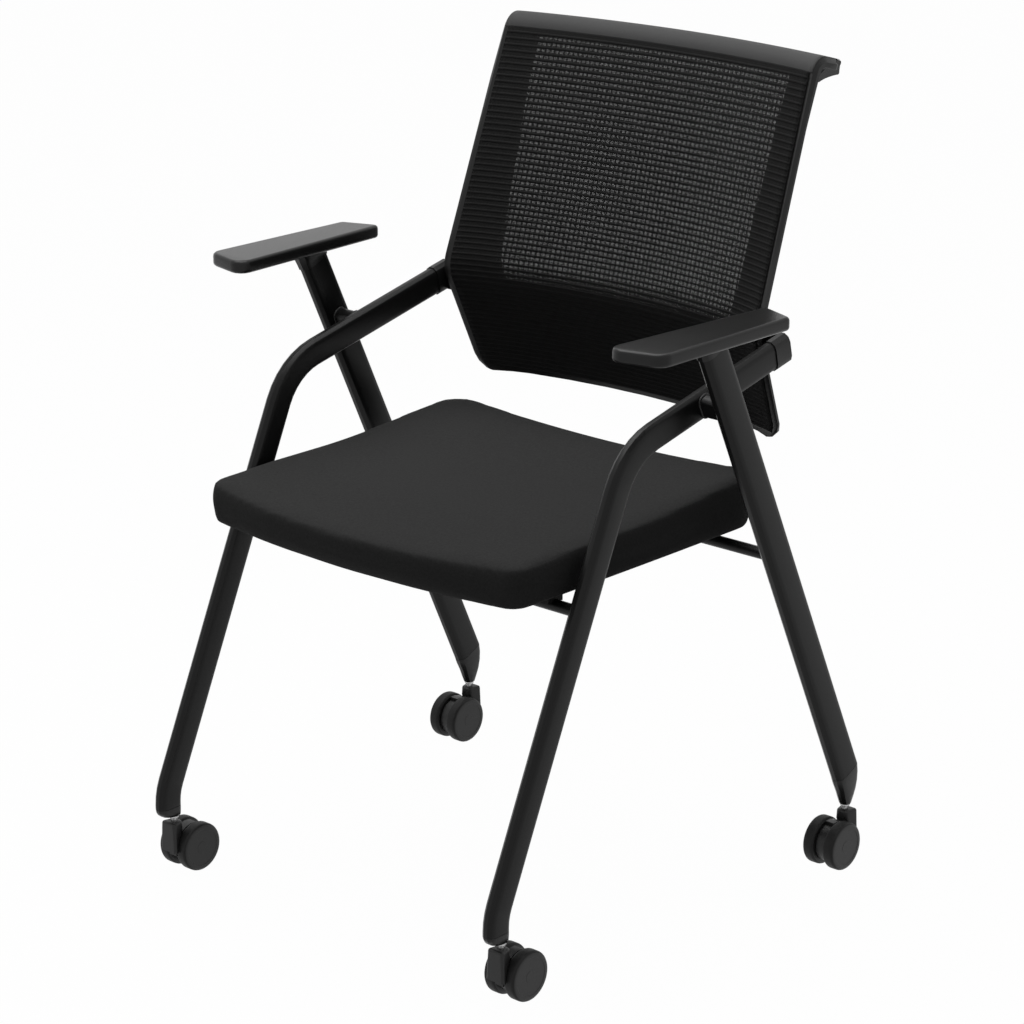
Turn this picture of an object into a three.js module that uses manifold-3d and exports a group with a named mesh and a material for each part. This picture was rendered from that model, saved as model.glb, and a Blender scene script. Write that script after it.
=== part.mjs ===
// A nesting chair: a steel frame of flat-oval tube on four twin-wheel castors, with armrests,
// a curved back of net in a moulded frame, and a padded seat that flips up about the rear bar.
// Millimetres. +X is the sitter's left, +Y the rear and +Z up. The floor is z = 0.
import * as THREE from 'three';
import { mergeVertices } from 'three/addons/utils/BufferGeometryUtils.js';
import Module from 'manifold-3d';

const wasm = await Module();
wasm.setup();

// Clearances and cutting
const fitGap = 0.3; // between pieces that meet on curved or hidden faces
const runGap = 0.5; // between pieces that turn past each other
const overrun = 2; // by which a cutting tool passes the face that it cuts

// Fineness of the facets
const tubeSteps = 5; // per half round of a flat-oval tube
const bendStep = THREE.MathUtils.degToRad(9);
const roundSegments = 20; // of wheels
const pinSegments = 12; // of pins, bars and bosses
const cornerSteps = 4; // per rounded corner of an outline

// Castors
const wheelRadius = 27;
const wheelHalfSpan = 20.5; // from the stem's plane to a wheel's outer face
const wheelInnerFace = 6.3;
const wheelEdge = 1.6;
const wheelDish = 0.8;
const wheelDishRadius = 21.5;
const wheelTrail = 22.5;
const axleRadius = 3;
const axleInset = 3.4; // of the axle's end behind the wheel's outer face
const stem = { radius: 3.5, collarRadius: 5.4, collarThick: 2.6, drop: 25.5, insertion: 14 };
const hood = {
  drop: 6.5, foot: 20, gap: 0.8, edge: 2.6,
  frontReach: 10, frontHalf: 13.3, frontTopHalf: 11, frontRound: 3,
  rearReach: 8.4, rearTopReach: 7, rearHalf: 8.4, rearTopHalf: 7, rearRound: 5.5,
  web: 11, webRadius: 21.5, spineInset: 1.5,
};
const spineEnd = THREE.MathUtils.degToRad(100); // round the axle, from the front over the wheels' tops

// Leg ends, which stand over the wheels
const legLift = 13; // of the leg ends over the wheels' tops
const legEndZ = 2 * wheelRadius + legLift;
const foot = { height: 12, spigot: 5, stemShift: 8, endDepth: 15, endThick: 10.4 };
const rearFoot = { spigot: 12, endRadius: 6.4, fullness: 1.5, straightening: 1.6 };

// Front tubes, which rise from the front castors, bend back under the armrests and carry the back
const frontTube = { x: 240, depth: 32, thick: 16, wall: 1.8 };
const frontFootY = -246.5;
const frontKneeRise = 29; // from the leg's end
const frontKneeRadius = 60;
const shoulderY = -53;
const shoulderZ = 535.5;
const shoulderRadius = 80;
const backJointY = 196;
const backJointZ = 594;

// Rear legs, straight from the armrests down to the rear castors, outside the front tubes
const spacer = { thick: 24, depth: 16, length: 24, round: 6 }; // block where a tube and a leg cross
const rearTube = { depth: 38, thick: 18, wall: 1.8 };
rearTube.x = frontTube.x + frontTube.thick / 2 + spacer.thick + rearTube.thick / 2;
const rearFootY = 282.5;
const rearKneeRise = 32; // from the leg's end
const rearCutLift = 9; // along the leg from the knee to the tube's lower end
const rearTopY = 26;
const rearTopDrop = 8; // from the armrest's underside

// Armrests: tapered planks with a moulded neck over each rear leg's top. Places are from the leg's top
const arm = {
  thick: 14.5, topZ: 658.5, edge: 4, frontInX: -27, frontInY: -136, frontOutX: 36.5, frontOutY: -121,
  rearOutX: 36, rearOutY: 83, rearInX: -10, rearInY: 101,
  frontInRound: 14, frontOutRound: 18, rearOutRound: 8, rearInRound: 7,
};
const neck = { flare: 5, wall: 1.2, drop: 12, rise: 4 };

// Seat, with its shell's underside just over the cross bars
const seatBaseZ = 397.5;
const shell = { thick: 4.5, reveal: 0.6, inset: 14, ribDrop: 7, ribWidth: 4, ribEndGap: 57, ribSpacing: 62, ribCount: 4 };
const seat = {
  sideGap: 10, rearY: 200, cornerY: -195, shoulderX: 112, shoulderY: -222, noseY: -231,
  rearRound: 38, frontRound: 25, noseRound: 420,
  sideHeight: 46.9, bottomRoundIn: 4, bottomRoundUp: 7, topRoundIn: 12, topRoundUp: 10, waist: 1.2,
  noseTuck: 15, crown: 4, dish: 10, rearRise: 13, riseFromY: -30, riseToY: 205, frontDrop: 4, dropFromY: -90,
};
const cushionBaseZ = seatBaseZ + shell.reveal;
const seatHalfWidth = frontTube.x - frontTube.thick / 2 - seat.sideGap;
const seatCornerSteps = 6;
const cushionRoundSteps = 4;
const crownRingShares = [0.08, 0.22, 0.42, 0.68];

// Cross bars, round tubes between the front tubes and between the rear legs
const barRadius = 6.5;
const barWall = 1.5;
const frontBarDrop = 13.3; // from the seat's base to the bar's middle
const rearBarDrop = 11;
const frontBarZ = seatBaseZ - frontBarDrop;
const rearBarZ = seatBaseZ - rearBarDrop;

// Hinge saddles under the seat's rear, round the rear bar, and rests that sit on the front bar
const saddle = { x: 150, width: 26, ringWall: 2.6, plate: 3, plateFront: 34, plateRear: 30 };
const rest = { x: 190, width: 30, depth: 22, grip: 3.5 };
const screw = { radius: 2.2, headRadius: 4.2, headHeight: 2.2, reach: 3.6 };
const screwInset = 9; // from the saddle plate's end to the screw

// Back frame: its front face at the side edges, a bent line placed from the front tubes' upper ends
const lumbarFront = 21.5; // by which the lumbar bend lies in front of the tubes' ends
const lumbarLift = 15;
const lumbarRadius = 45;
const footSetback = 53.5; // of the lower edge behind the lumbar bend
const footFall = 128;
const crestSetback = 100;
const crestLift = 280;
const crestRadius = 20;
const lipReach = 39; // of the rolled-back lip behind the crest's corner
const lipFall = 10;
const backThick = 9;
const lipThick = 15;
const lipSwellFall = 72; // below the crest's corner, from where the frame thickens towards the lip
const backEdge = 4; // rounding of the frame's outer edge
const backSideGap = { foot: 23, lumbar: 14, top: 22 }; // from the front tubes' middle planes
const backCornerRadius = { foot: 20, top: 6 };
const backDepth = { foot: 30, lumbar: 38, top: 25 }; // of the hollow curve across the back
const backDepthTopFall = 117; // below the crest's corner, over which the curve keeps its top depth
const borderWrap = { lumbar: 7, top: 2 }; // by which the border turns forward at the sides
const backRowStep = 62;
const backColumns = 6; // of the rails over and under the window
const borderColumnShares = [1, 0.9, 0.5];

const lumbarY = backJointY - lumbarFront;
const lumbarZ = backJointZ + lumbarLift;
const backFootY = lumbarY + footSetback;
const backFootZ = lumbarZ - footFall;
const crestY = lumbarY + crestSetback;
const crestZ = lumbarZ + crestLift;

// Window of the back and the net in it
const windowRail = { foot: 65, top: 25 }; // heights of the frame under and over the window
const windowKinkLift = 35; // over the lumbar bend
const border = { foot: 65, kink: 55, top: 39 }; // widths of the frame beside the window
const windowGap = 0.6;
const net = { thick: 1.6, inset: 1.2, selvedge: 7, upright: 5, rib: 2.8, ribs: 43, uprights: 4 };
const windowFootZ = backFootZ + windowRail.foot;
const windowKinkZ = lumbarZ + windowKinkLift;
const windowTopZ = crestZ - windowRail.top;

// Sockets of the back frame that hold the front tubes' upper ends
const socket = { wall: 1.2, length: 24, floor: 5, lugLap: 14, lugDepth: 14, lugHalfHeight: 15 };

// Materials
const satinBlack = new THREE.MeshStandardMaterial({ color: 0x1d1d1f, roughness: 0.42, metalness: 0.55 });
const blackPlastic = new THREE.MeshStandardMaterial({ color: 0x222224, roughness: 0.55, metalness: 0 });
const netBlack = new THREE.MeshStandardMaterial({ color: 0x1b1b1e, roughness: 0.85, metalness: 0 });
const seatFabric = new THREE.MeshStandardMaterial({ color: 0x262627, roughness: 0.92, metalness: 0 });
const castorPlastic = new THREE.MeshStandardMaterial({ color: 0x2b2b2c, roughness: 0.5, metalness: 0 });
const rubber = new THREE.MeshStandardMaterial({ color: 0x181818, roughness: 0.8, metalness: 0 });
const zincSteel = new THREE.MeshStandardMaterial({ color: 0x8c8d90, roughness: 0.35, metalness: 0.9 });

const chair = new THREE.Group();

function addPiece(name, geometry, material) {
  const mesh = new THREE.Mesh(geometry, material);
  mesh.name = name;
  chair.add(mesh);
}

// Adds a piece on the sitter's left and its mirror image on the right
function addPair(name, geometry, material) {
  addPiece(`${name}_left`, geometry, material);
  addPiece(`${name}_right`, mirrored(geometry), material);
}

// Turns triangles so that the closed surface faces outwards
function facingOut(geometry) {
  const p = geometry.getAttribute('position');
  const index = geometry.getIndex();
  const [a, b, c] = [new THREE.Vector3(), new THREE.Vector3(), new THREE.Vector3()];
  let volume = 0;
  for (let i = 0; i < index.count; i += 3) {
    a.fromBufferAttribute(p, index.getX(i));
    b.fromBufferAttribute(p, index.getX(i + 1));
    c.fromBufferAttribute(p, index.getX(i + 2));
    volume += a.dot(b.cross(c));
  }
  if (volume < 0) {
    for (let i = 0; i < index.count; i += 3) {
      const second = index.getX(i + 1);
      index.setX(i + 1, index.getX(i + 2));
      index.setX(i + 2, second);
    }
  }
  geometry.computeVertexNormals();
  return geometry;
}

// A closed solid from its corner points and its triangles
function solid(points, triangles) {
  const geometry = new THREE.BufferGeometry().setFromPoints(points);
  geometry.setIndex(triangles.flat());
  return facingOut(geometry);
}

// Keeps a three.js geometry's positions only, with shared corners merged
function welded(geometry) {
  const bare = geometry.clone();
  bare.deleteAttribute('normal');
  bare.deleteAttribute('uv');
  return facingOut(mergeVertices(bare));
}

function mirrored(geometry) {
  return facingOut(geometry.clone().scale(-1, 1, 1));
}

function moved(geometry, x, y, z) {
  return geometry.clone().translate(x, y, z);
}

function toManifold(geometry) {
  const bare = welded(geometry);
  return new wasm.Manifold(new wasm.Mesh({
    numProp: 3,
    vertProperties: Float32Array.from(bare.getAttribute('position').array),
    triVerts: Uint32Array.from(bare.getIndex().array),
  }));
}

function fromManifold(body) {
  const mesh = body.getMesh();
  const geometry = new THREE.BufferGeometry();
  geometry.setAttribute('position', new THREE.BufferAttribute(Float32Array.from(mesh.vertProperties), 3));
  geometry.setIndex(Array.from(mesh.triVerts));
  return facingOut(geometry);
}

function joined(...geometries) {
  return fromManifold(geometries.map(toManifold).reduce((whole, piece) => whole.add(piece)));
}

function cutBy(geometry, ...tools) {
  return fromManifold(tools.map(toManifold).reduce((whole, tool) => whole.subtract(tool), toManifold(geometry)));
}

// The triangles between two rings of equal length, a pair for each side
function wallBetween(lower, upper, count) {
  const triangles = [];
  for (let i = 0; i < count; i += 1) {
    const next = (i + 1) % count;
    triangles.push([lower + i, lower + next, upper + next], [lower + i, upper + next, upper + i]);
  }
  return triangles;
}

// A solid through a row of convex rings with as many points each, flat at both ends
function loft(rings) {
  const count = rings[0].length;
  const triangles = [];
  for (let r = 0; r + 1 < rings.length; r += 1) {
    triangles.push(...wallBetween(r * count, (r + 1) * count, count));
  }
  const last = (rings.length - 1) * count;
  for (let i = 1; i + 1 < count; i += 1) {
    triangles.push([0, i + 1, i], [last, last + i, last + i + 1]);
  }
  return solid(rings.flat(), triangles);
}

// A pipe through paired outer and inner rings, open at both ends
function pipe(outerRings, innerRings) {
  const count = outerRings[0].length;
  const inside = outerRings.length * count;
  const last = (outerRings.length - 1) * count;
  const triangles = [];
  for (let r = 0; r < last; r += count) {
    triangles.push(...wallBetween(r, r + count, count));
    triangles.push(...wallBetween(inside + r + count, inside + r, count));
  }
  triangles.push(...wallBetween(inside, 0, count));
  triangles.push(...wallBetween(last, inside + last, count));
  return solid([...outerRings, ...innerRings].flat(), triangles);
}

// A flat-oval section: x runs across the tube's thin side, y along its deep side
function flatOval(thick, depth, steps = tubeSteps) {
  const radius = thick / 2;
  const reach = depth / 2 - radius;
  const points = [];
  for (const side of [1, -1]) {
    for (let i = 0; i <= steps; i += 1) {
      const angle = (i / steps) * Math.PI;
      points.push(new THREE.Vector2(side * radius * Math.cos(angle), side * (reach + radius * Math.sin(angle))));
    }
  }
  return points;
}

// A place on a path in the side plane: y, z and the angle of travel from +Y towards +Z
function station(y, z, heading) {
  return { y, z, heading };
}

function headingOf(from, to) {
  return Math.atan2(to.y - from.y, to.x - from.x);
}

// Stations along straight runs joined by arcs. Corners are (y, z), and radii belong to the inner ones
function bentPath(corners, radii) {
  const stations = [station(corners[0].x, corners[0].y, headingOf(corners[0], corners[1]))];
  for (let i = 1; i + 1 < corners.length; i += 1) {
    const before = headingOf(corners[i - 1], corners[i]);
    const turn = headingOf(corners[i], corners[i + 1]) - before;
    const radius = radii[i - 1];
    const back = radius * Math.tan(Math.abs(turn) / 2);
    const start = corners[i].clone().sub(new THREE.Vector2(Math.cos(before), Math.sin(before)).multiplyScalar(back));
    const side = Math.sign(turn);
    const centre = start.clone().add(new THREE.Vector2(-Math.sin(before), Math.cos(before)).multiplyScalar(side * radius));
    const steps = Math.ceil(Math.abs(turn) / bendStep);
    for (let k = 0; k <= steps; k += 1) {
      const heading = before + (turn * k) / steps;
      stations.push(station(
        centre.x + side * radius * Math.sin(heading), centre.y - side * radius * Math.cos(heading), heading,
      ));
    }
  }
  const end = corners[corners.length - 1];
  stations.push(station(end.x, end.y, headingOf(corners[corners.length - 2], end)));
  return stations;
}

// A section set square on a station of the side plane, at a distance x from the middle
function ringAt(section, place, x) {
  return section.map((p) => new THREE.Vector3(
    x + p.x, place.y - p.y * Math.sin(place.heading), place.z + p.y * Math.cos(place.heading),
  ));
}

function pointAlong(place, distance) {
  return station(
    place.y + distance * Math.cos(place.heading), place.z + distance * Math.sin(place.heading), place.heading,
  );
}

function yOnLine(from, to, z) {
  return from.x + ((z - from.y) / (to.y - from.y)) * (to.x - from.x);
}

function linesCross(a, b, c, d) {
  const r = b.clone().sub(a);
  const s = d.clone().sub(c);
  const along = c.clone().sub(a).cross(s) / r.cross(s);
  return a.clone().addScaledVector(r, along);
}

// An outline whose corners { x, y, round } are rounded by arcs
function roundedOutline(corners, steps = cornerSteps) {
  const outline = [];
  corners.forEach((corner, i) => {
    const here = new THREE.Vector2(corner.x, corner.y);
    const before = corners[(i + corners.length - 1) % corners.length];
    const after = corners[(i + 1) % corners.length];
    const inward = new THREE.Vector2(here.x - before.x, here.y - before.y).normalize();
    const outward = new THREE.Vector2(after.x - here.x, after.y - here.y).normalize();
    const turn = Math.atan2(inward.cross(outward), inward.dot(outward));
    const back = corner.round * Math.tan(Math.abs(turn) / 2);
    const start = here.clone().addScaledVector(inward, -back);
    const side = Math.sign(turn);
    const centre = start.clone().add(new THREE.Vector2(-inward.y, inward.x).multiplyScalar(side * corner.round));
    const from = start.clone().sub(centre);
    for (let k = 0; k <= steps; k += 1) {
      outline.push(centre.clone().add(from.clone().rotateAround(new THREE.Vector2(), (turn * k) / steps)));
    }
  });
  return outline;
}

// The outline drawn in by a distance, corner by corner
function drawnIn(outline, distance) {
  return outline.map((p, i) => {
    const before = outline[(i + outline.length - 1) % outline.length];
    const after = outline[(i + 1) % outline.length];
    const along = after.clone().sub(before).normalize();
    return new THREE.Vector2(p.x - along.y * distance, p.y + along.x * distance);
  });
}

function level(outline, z) {
  return outline.map((p) => new THREE.Vector3(p.x, p.y, z));
}

// A straight prism along X over an outline in the side plane
function sidePrism(outline, fromX, toX) {
  return loft([fromX, toX].map((x) => outline.map((p) => new THREE.Vector3(x, p.x, p.y))));
}

// A round solid from a profile of (radius, height) points that starts and ends on the axis, standing on z
function turned(profile, segments = pinSegments) {
  return welded(new THREE.LatheGeometry(profile, segments).rotateX(Math.PI / 2));
}

function pinZ(radius, fromZ, toZ, segments = pinSegments) {
  return turned([
    new THREE.Vector2(0, fromZ), new THREE.Vector2(radius, fromZ),
    new THREE.Vector2(radius, toZ), new THREE.Vector2(0, toZ),
  ], segments);
}

function alongX(geometry) {
  return geometry.clone().rotateY(Math.PI / 2);
}

const frontTubeEndZ = legEndZ + foot.height;

// The side-plane corners of the front tube, from the castor up to the back
const frontCorners = [
  new THREE.Vector2(frontFootY, frontTubeEndZ),
  new THREE.Vector2(frontFootY, legEndZ + frontKneeRise),
  new THREE.Vector2(shoulderY, shoulderZ),
  new THREE.Vector2(backJointY, backJointZ),
];
const rearKnee = new THREE.Vector2(rearFootY, legEndZ + rearKneeRise);
const rearTop = new THREE.Vector2(rearTopY, arm.topZ - arm.thick - rearTopDrop);
const rearHeading = headingOf(rearKnee, rearTop);
const rearCut = pointAlong(station(rearKnee.x, rearKnee.y, rearHeading), rearCutLift);
const crossing = linesCross(frontCorners[2], frontCorners[3], rearKnee, rearTop);
const frontBarY = yOnLine(frontCorners[1], frontCorners[2], frontBarZ);
const rearBarY = yOnLine(rearKnee, rearTop, rearBarZ);

function hollowTube(tube, stations) {
  const outer = flatOval(tube.thick, tube.depth);
  const inner = flatOval(tube.thick - 2 * tube.wall, tube.depth - 2 * tube.wall);
  return pipe(
    stations.map((place) => ringAt(outer, place, tube.x)),
    stations.map((place) => ringAt(inner, place, tube.x)),
  );
}

function buildFrontTube() {
  return hollowTube(frontTube, bentPath(frontCorners, [frontKneeRadius, shoulderRadius]));
}

function buildRearTube() {
  return hollowTube(rearTube, [rearCut, station(rearTop.x, rearTop.y, rearHeading)]);
}

// A round bar across the chair, its ends on the tubes' flat inner faces
function buildCrossBar(tube, y, z) {
  const halfLength = tube.x - tube.thick / 2;
  const ringOf = (radius, x) => {
    const ring = [];
    for (let i = 0; i < pinSegments; i += 1) {
      const angle = (i / pinSegments) * 2 * Math.PI;
      ring.push(new THREE.Vector3(x, y + radius * Math.cos(angle), z + radius * Math.sin(angle)));
    }
    return ring;
  };
  const ends = [-halfLength, halfLength];
  return pipe(ends.map((x) => ringOf(barRadius, x)), ends.map((x) => ringOf(barRadius - barWall, x)));
}

// The block welded between a front tube and a rear leg, set along the leg
function buildSpacer() {
  const [w, h] = [spacer.depth / 2, spacer.length / 2];
  const corners = [[-w, -h], [w, -h], [w, h], [-w, h]].map(([x, y]) => ({ x, y, round: spacer.round }));
  const tilt = rearHeading - Math.PI / 2;
  const outline = roundedOutline(corners).map((p) => p.clone().rotateAround(new THREE.Vector2(), tilt).add(crossing));
  return sidePrism(outline, frontTube.x + frontTube.thick / 2, rearTube.x - rearTube.thick / 2);
}

// The domed plug in a front tube's lower end, full at the rear where the castor's stem enters
function buildFrontFoot() {
  const spigotOval = flatOval(
    frontTube.thick - 2 * (frontTube.wall + fitGap), frontTube.depth - 2 * (frontTube.wall + fitGap),
  );
  const rings = [foot.spigot, 0].map((lift) => ringAt(
    spigotOval, station(frontFootY, frontTubeEndZ + lift, Math.PI / 2), frontTube.x,
  ));
  const domeSteps = 6;
  for (let i = 0; i <= domeSteps; i += 1) {
    const swing = (i / domeSteps) * (Math.PI / 2);
    const depth = THREE.MathUtils.lerp(foot.endDepth, frontTube.depth, Math.cos(swing));
    const thick = THREE.MathUtils.lerp(foot.endThick, frontTube.thick, Math.cos(swing));
    const shift = (frontTube.depth - depth) / 2;
    const z = frontTubeEndZ - foot.height * Math.sin(swing);
    rings.push(ringAt(flatOval(thick, depth), station(frontFootY + shift, z, Math.PI / 2), frontTube.x));
  }
  const stemY = frontFootY + foot.stemShift;
  return cutBy(loft(rings), moved(stemHole(), frontTube.x, stemY, 0));
}

// The tapered plug in a rear leg's lower end, which turns upright as it narrows to the castor's stem
function buildRearFoot() {
  const spigotOval = flatOval(
    rearTube.thick - 2 * (rearTube.wall + fitGap), rearTube.depth - 2 * (rearTube.wall + fitGap),
  );
  const rings = [rearFoot.spigot, 0].map((lift) => ringAt(spigotOval, pointAlong(rearCut, lift), rearTube.x));
  const steps = 5;
  for (let i = 0; i <= steps; i += 1) {
    const share = i / steps;
    const narrowing = share ** rearFoot.fullness;
    const turning = Math.min(1, share * rearFoot.straightening);
    const heading = THREE.MathUtils.lerp(rearHeading, Math.PI / 2, turning);
    const depth = THREE.MathUtils.lerp(rearTube.depth, 2 * rearFoot.endRadius + fitGap, narrowing);
    const thick = THREE.MathUtils.lerp(rearTube.thick, 2 * rearFoot.endRadius, narrowing);
    const z = THREE.MathUtils.lerp(rearCut.z, legEndZ, share);
    const y = THREE.MathUtils.lerp(rearCut.y, rearFootY, Math.sin(turning * (Math.PI / 2)));
    rings.push(ringAt(flatOval(thick, depth), station(y, z, heading), rearTube.x));
  }
  return cutBy(loft(rings), moved(stemHole(), rearTube.x, rearFootY, 0));
}

function stemHole() {
  return pinZ(stem.radius + fitGap, legEndZ - overrun, legEndZ + stem.insertion + fitGap);
}

// The castor's pin: its top sits in the leg's plug, its lower part in the hood
function buildStem() {
  const collarTopZ = legEndZ - fitGap;
  const bottomZ = legEndZ - stem.drop;
  const profile = [
    [0, bottomZ], [stem.radius, bottomZ],
    [stem.radius, collarTopZ - stem.collarThick], [stem.collarRadius, collarTopZ - stem.collarThick],
    [stem.collarRadius, collarTopZ], [stem.radius, collarTopZ],
    [stem.radius, legEndZ + stem.insertion], [0, legEndZ + stem.insertion],
  ];
  return turned(profile.map(([r, z]) => new THREE.Vector2(r, z)));
}

// A place in the side plane round the axle, its angle measured from the front over the wheels' tops
function roundAxle(radius, angle) {
  return new THREE.Vector2(wheelTrail - radius * Math.cos(angle), wheelRadius + radius * Math.sin(angle));
}

// The hood: a tapered cap with a panel before the wheels and a flat top round the stem, and a web between
// the wheels that holds the axle and rises to a spine
function buildHood() {
  const topZ = legEndZ - hood.drop;
  const section = (z, share, inset) => {
    const frontHalf = THREE.MathUtils.lerp(hood.frontHalf, hood.frontTopHalf, share);
    const rearHalf = THREE.MathUtils.lerp(hood.rearHalf, hood.rearTopHalf, share);
    const rearReach = THREE.MathUtils.lerp(hood.rearReach, hood.rearTopReach, share);
    const outline = roundedOutline([
      { x: -frontHalf, y: -hood.frontReach, round: hood.frontRound },
      { x: frontHalf, y: -hood.frontReach, round: hood.frontRound },
      { x: rearHalf, y: rearReach, round: hood.rearRound },
      { x: -rearHalf, y: rearReach, round: hood.rearRound },
    ]);
    return level(drawnIn(outline, inset), z);
  };
  const edgeSteps = 3;
  const levels = [section(hood.foot, 0, 0)];
  for (let i = 0; i <= edgeSteps; i += 1) {
    const angle = (i / edgeSteps) * (Math.PI / 2);
    const drop = hood.edge * (1 - Math.sin(angle));
    levels.push(section(topZ - drop, 1, hood.edge * (1 - Math.cos(angle))));
  }
  const half = hood.web / 2;
  const roundAxle = (radius, angle) => new THREE.Vector2(
    wheelTrail - radius * Math.cos(angle), wheelRadius + radius * Math.sin(angle),
  );
  const webOutline = Array.from({ length: roundSegments }, (_, i) => roundAxle(
    hood.webRadius, (i / roundSegments) * 2 * Math.PI,
  ));
  const spineFrom = Math.asin((hood.foot - wheelRadius) / wheelRadius);
  const spineSteps = Math.ceil((spineEnd - spineFrom) / (2 * bendStep));
  const spineOutline = Array.from({ length: spineSteps + 1 }, (_, i) => roundAxle(
    wheelRadius - hood.spineInset, THREE.MathUtils.lerp(spineFrom, spineEnd, i / spineSteps),
  ));
  const wheelRoom = wheelBlank(wheelRadius + hood.gap, half, wheelHalfSpan + overrun);
  const body = joined(
    cutBy(loft(levels), wheelRoom, mirrored(wheelRoom)), sidePrism(webOutline, -half, half),
    sidePrism([roundAxle(0, 0), ...spineOutline], -half, half),
  );
  const axleHole = alongX(pinZ(axleRadius + fitGap, -hood.web, hood.web)).translate(0, wheelTrail, wheelRadius);
  const stemBore = pinZ(stem.radius + fitGap, legEndZ - stem.drop - runGap, legEndZ + overrun);
  return cutBy(body, axleHole, stemBore);
}

// A disc in the wheel's place, larger all round by a clearance
function wheelBlank(radius, fromX, toX) {
  return alongX(pinZ(radius, fromX, toX, 2 * roundSegments)).translate(0, wheelTrail, wheelRadius);
}

function buildAxle() {
  const halfLength = wheelHalfSpan - axleInset;
  return alongX(pinZ(axleRadius, -halfLength, halfLength)).translate(0, wheelTrail, wheelRadius);
}

// A wheel on the castor's left side, its hub blind towards the outer face
function buildWheel() {
  const outer = wheelHalfSpan;
  const inner = wheelInnerFace;
  const hubEnd = outer - axleInset + fitGap;
  const profile = [
    [0, outer - wheelDish], [wheelDishRadius, outer - wheelDish], [wheelDishRadius + wheelDish, outer],
    [wheelRadius - wheelEdge, outer], [wheelRadius, outer - wheelEdge], [wheelRadius, inner + wheelEdge],
    [wheelRadius - wheelEdge, inner], [axleRadius + fitGap, inner],
    [axleRadius + fitGap, hubEnd], [0, hubEnd],
  ];
  const disc = turned(profile.map(([r, x]) => new THREE.Vector2(r, x)), roundSegments);
  return alongX(disc).translate(0, wheelTrail, wheelRadius);
}

// A castor whose wheels trail towards +Y if trail is 1 and towards -Y if it is -1
function addCastor(name, x, y, trail) {
  const place = (geometry) => moved(
    trail > 0 ? geometry : geometry.clone().rotateZ(Math.PI), x, y, 0,
  );
  addPiece(`castor_stem_${name}`, place(buildStem()), zincSteel);
  addPiece(`castor_hood_${name}`, place(buildHood()), castorPlastic);
  addPiece(`castor_axle_${name}`, place(buildAxle()), zincSteel);
  const wheel = buildWheel();
  const sides = trail > 0 ? [wheel, mirrored(wheel)] : [mirrored(wheel), wheel];
  addPiece(`wheel_${name}_outer`, place(x > 0 ? sides[0] : sides[1]), castorPlastic);
  addPiece(`wheel_${name}_inner`, place(x > 0 ? sides[1] : sides[0]), castorPlastic);
}

// The armrest's plank with rounded edges, its neck, and the pocket for the leg's top
function buildArmrest() {
  const outline = roundedOutline([
    { x: rearTube.x + arm.frontInX, y: rearTopY + arm.frontInY, round: arm.frontInRound },
    { x: rearTube.x + arm.frontOutX, y: rearTopY + arm.frontOutY, round: arm.frontOutRound },
    { x: rearTube.x + arm.rearOutX, y: rearTopY + arm.rearOutY, round: arm.rearOutRound },
    { x: rearTube.x + arm.rearInX, y: rearTopY + arm.rearInY, round: arm.rearInRound },
  ]);
  const bottomZ = arm.topZ - arm.thick;
  const edgeSteps = 3;
  const rings = [];
  for (let i = 0; i <= edgeSteps; i += 1) {
    const angle = (i / edgeSteps) * (Math.PI / 2);
    rings.push(level(drawnIn(outline, arm.edge * (1 - Math.sin(angle))), bottomZ + arm.edge * (1 - Math.cos(angle))));
  }
  for (let i = 0; i <= edgeSteps; i += 1) {
    const angle = (i / edgeSteps) * (Math.PI / 2);
    rings.push(level(drawnIn(outline, arm.edge * (1 - Math.cos(angle))), arm.topZ - arm.edge * (1 - Math.sin(angle))));
  }
  const legTop = station(rearTop.x, rearTop.y, rearHeading);
  const neckTop = pointAlong(legTop, (bottomZ + neck.rise - rearTop.y) / Math.sin(rearHeading));
  const neckSteps = 4;
  const neckRings = [];
  for (let i = 0; i <= neckSteps; i += 1) {
    const share = i / neckSteps;
    const spread = neck.wall + neck.flare * (1 - share) * (1 - share);
    const place = pointAlong(neckTop, -(neck.drop + neck.rise) * share);
    place.heading = THREE.MathUtils.lerp(Math.PI / 2, rearHeading, share);
    neckRings.push(ringAt(
      flatOval(rearTube.thick + 2 * spread, rearTube.depth + 2 * spread), place, rearTube.x,
    ));
  }
  const pocketOval = flatOval(rearTube.thick + 2 * fitGap, rearTube.depth + 2 * fitGap);
  const pocket = loft([
    ringAt(pocketOval, pointAlong(legTop, fitGap), rearTube.x),
    ringAt(pocketOval, pointAlong(legTop, -2 * (neck.drop + rearTube.depth)), rearTube.x),
  ]);
  return cutBy(joined(loft(rings), loft(neckRings)), pocket);
}

const seatOutline = roundedOutline([
  { x: seatHalfWidth, y: seat.rearY, round: seat.rearRound },
  { x: -seatHalfWidth, y: seat.rearY, round: seat.rearRound },
  { x: -seatHalfWidth, y: seat.cornerY, round: seat.frontRound },
  { x: -seat.shoulderX, y: seat.shoulderY, round: seat.noseRound },
  { x: 0, y: seat.noseY, round: seat.noseRound },
  { x: seat.shoulderX, y: seat.shoulderY, round: seat.noseRound },
  { x: seatHalfWidth, y: seat.cornerY, round: seat.frontRound },
], seatCornerSteps);

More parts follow.
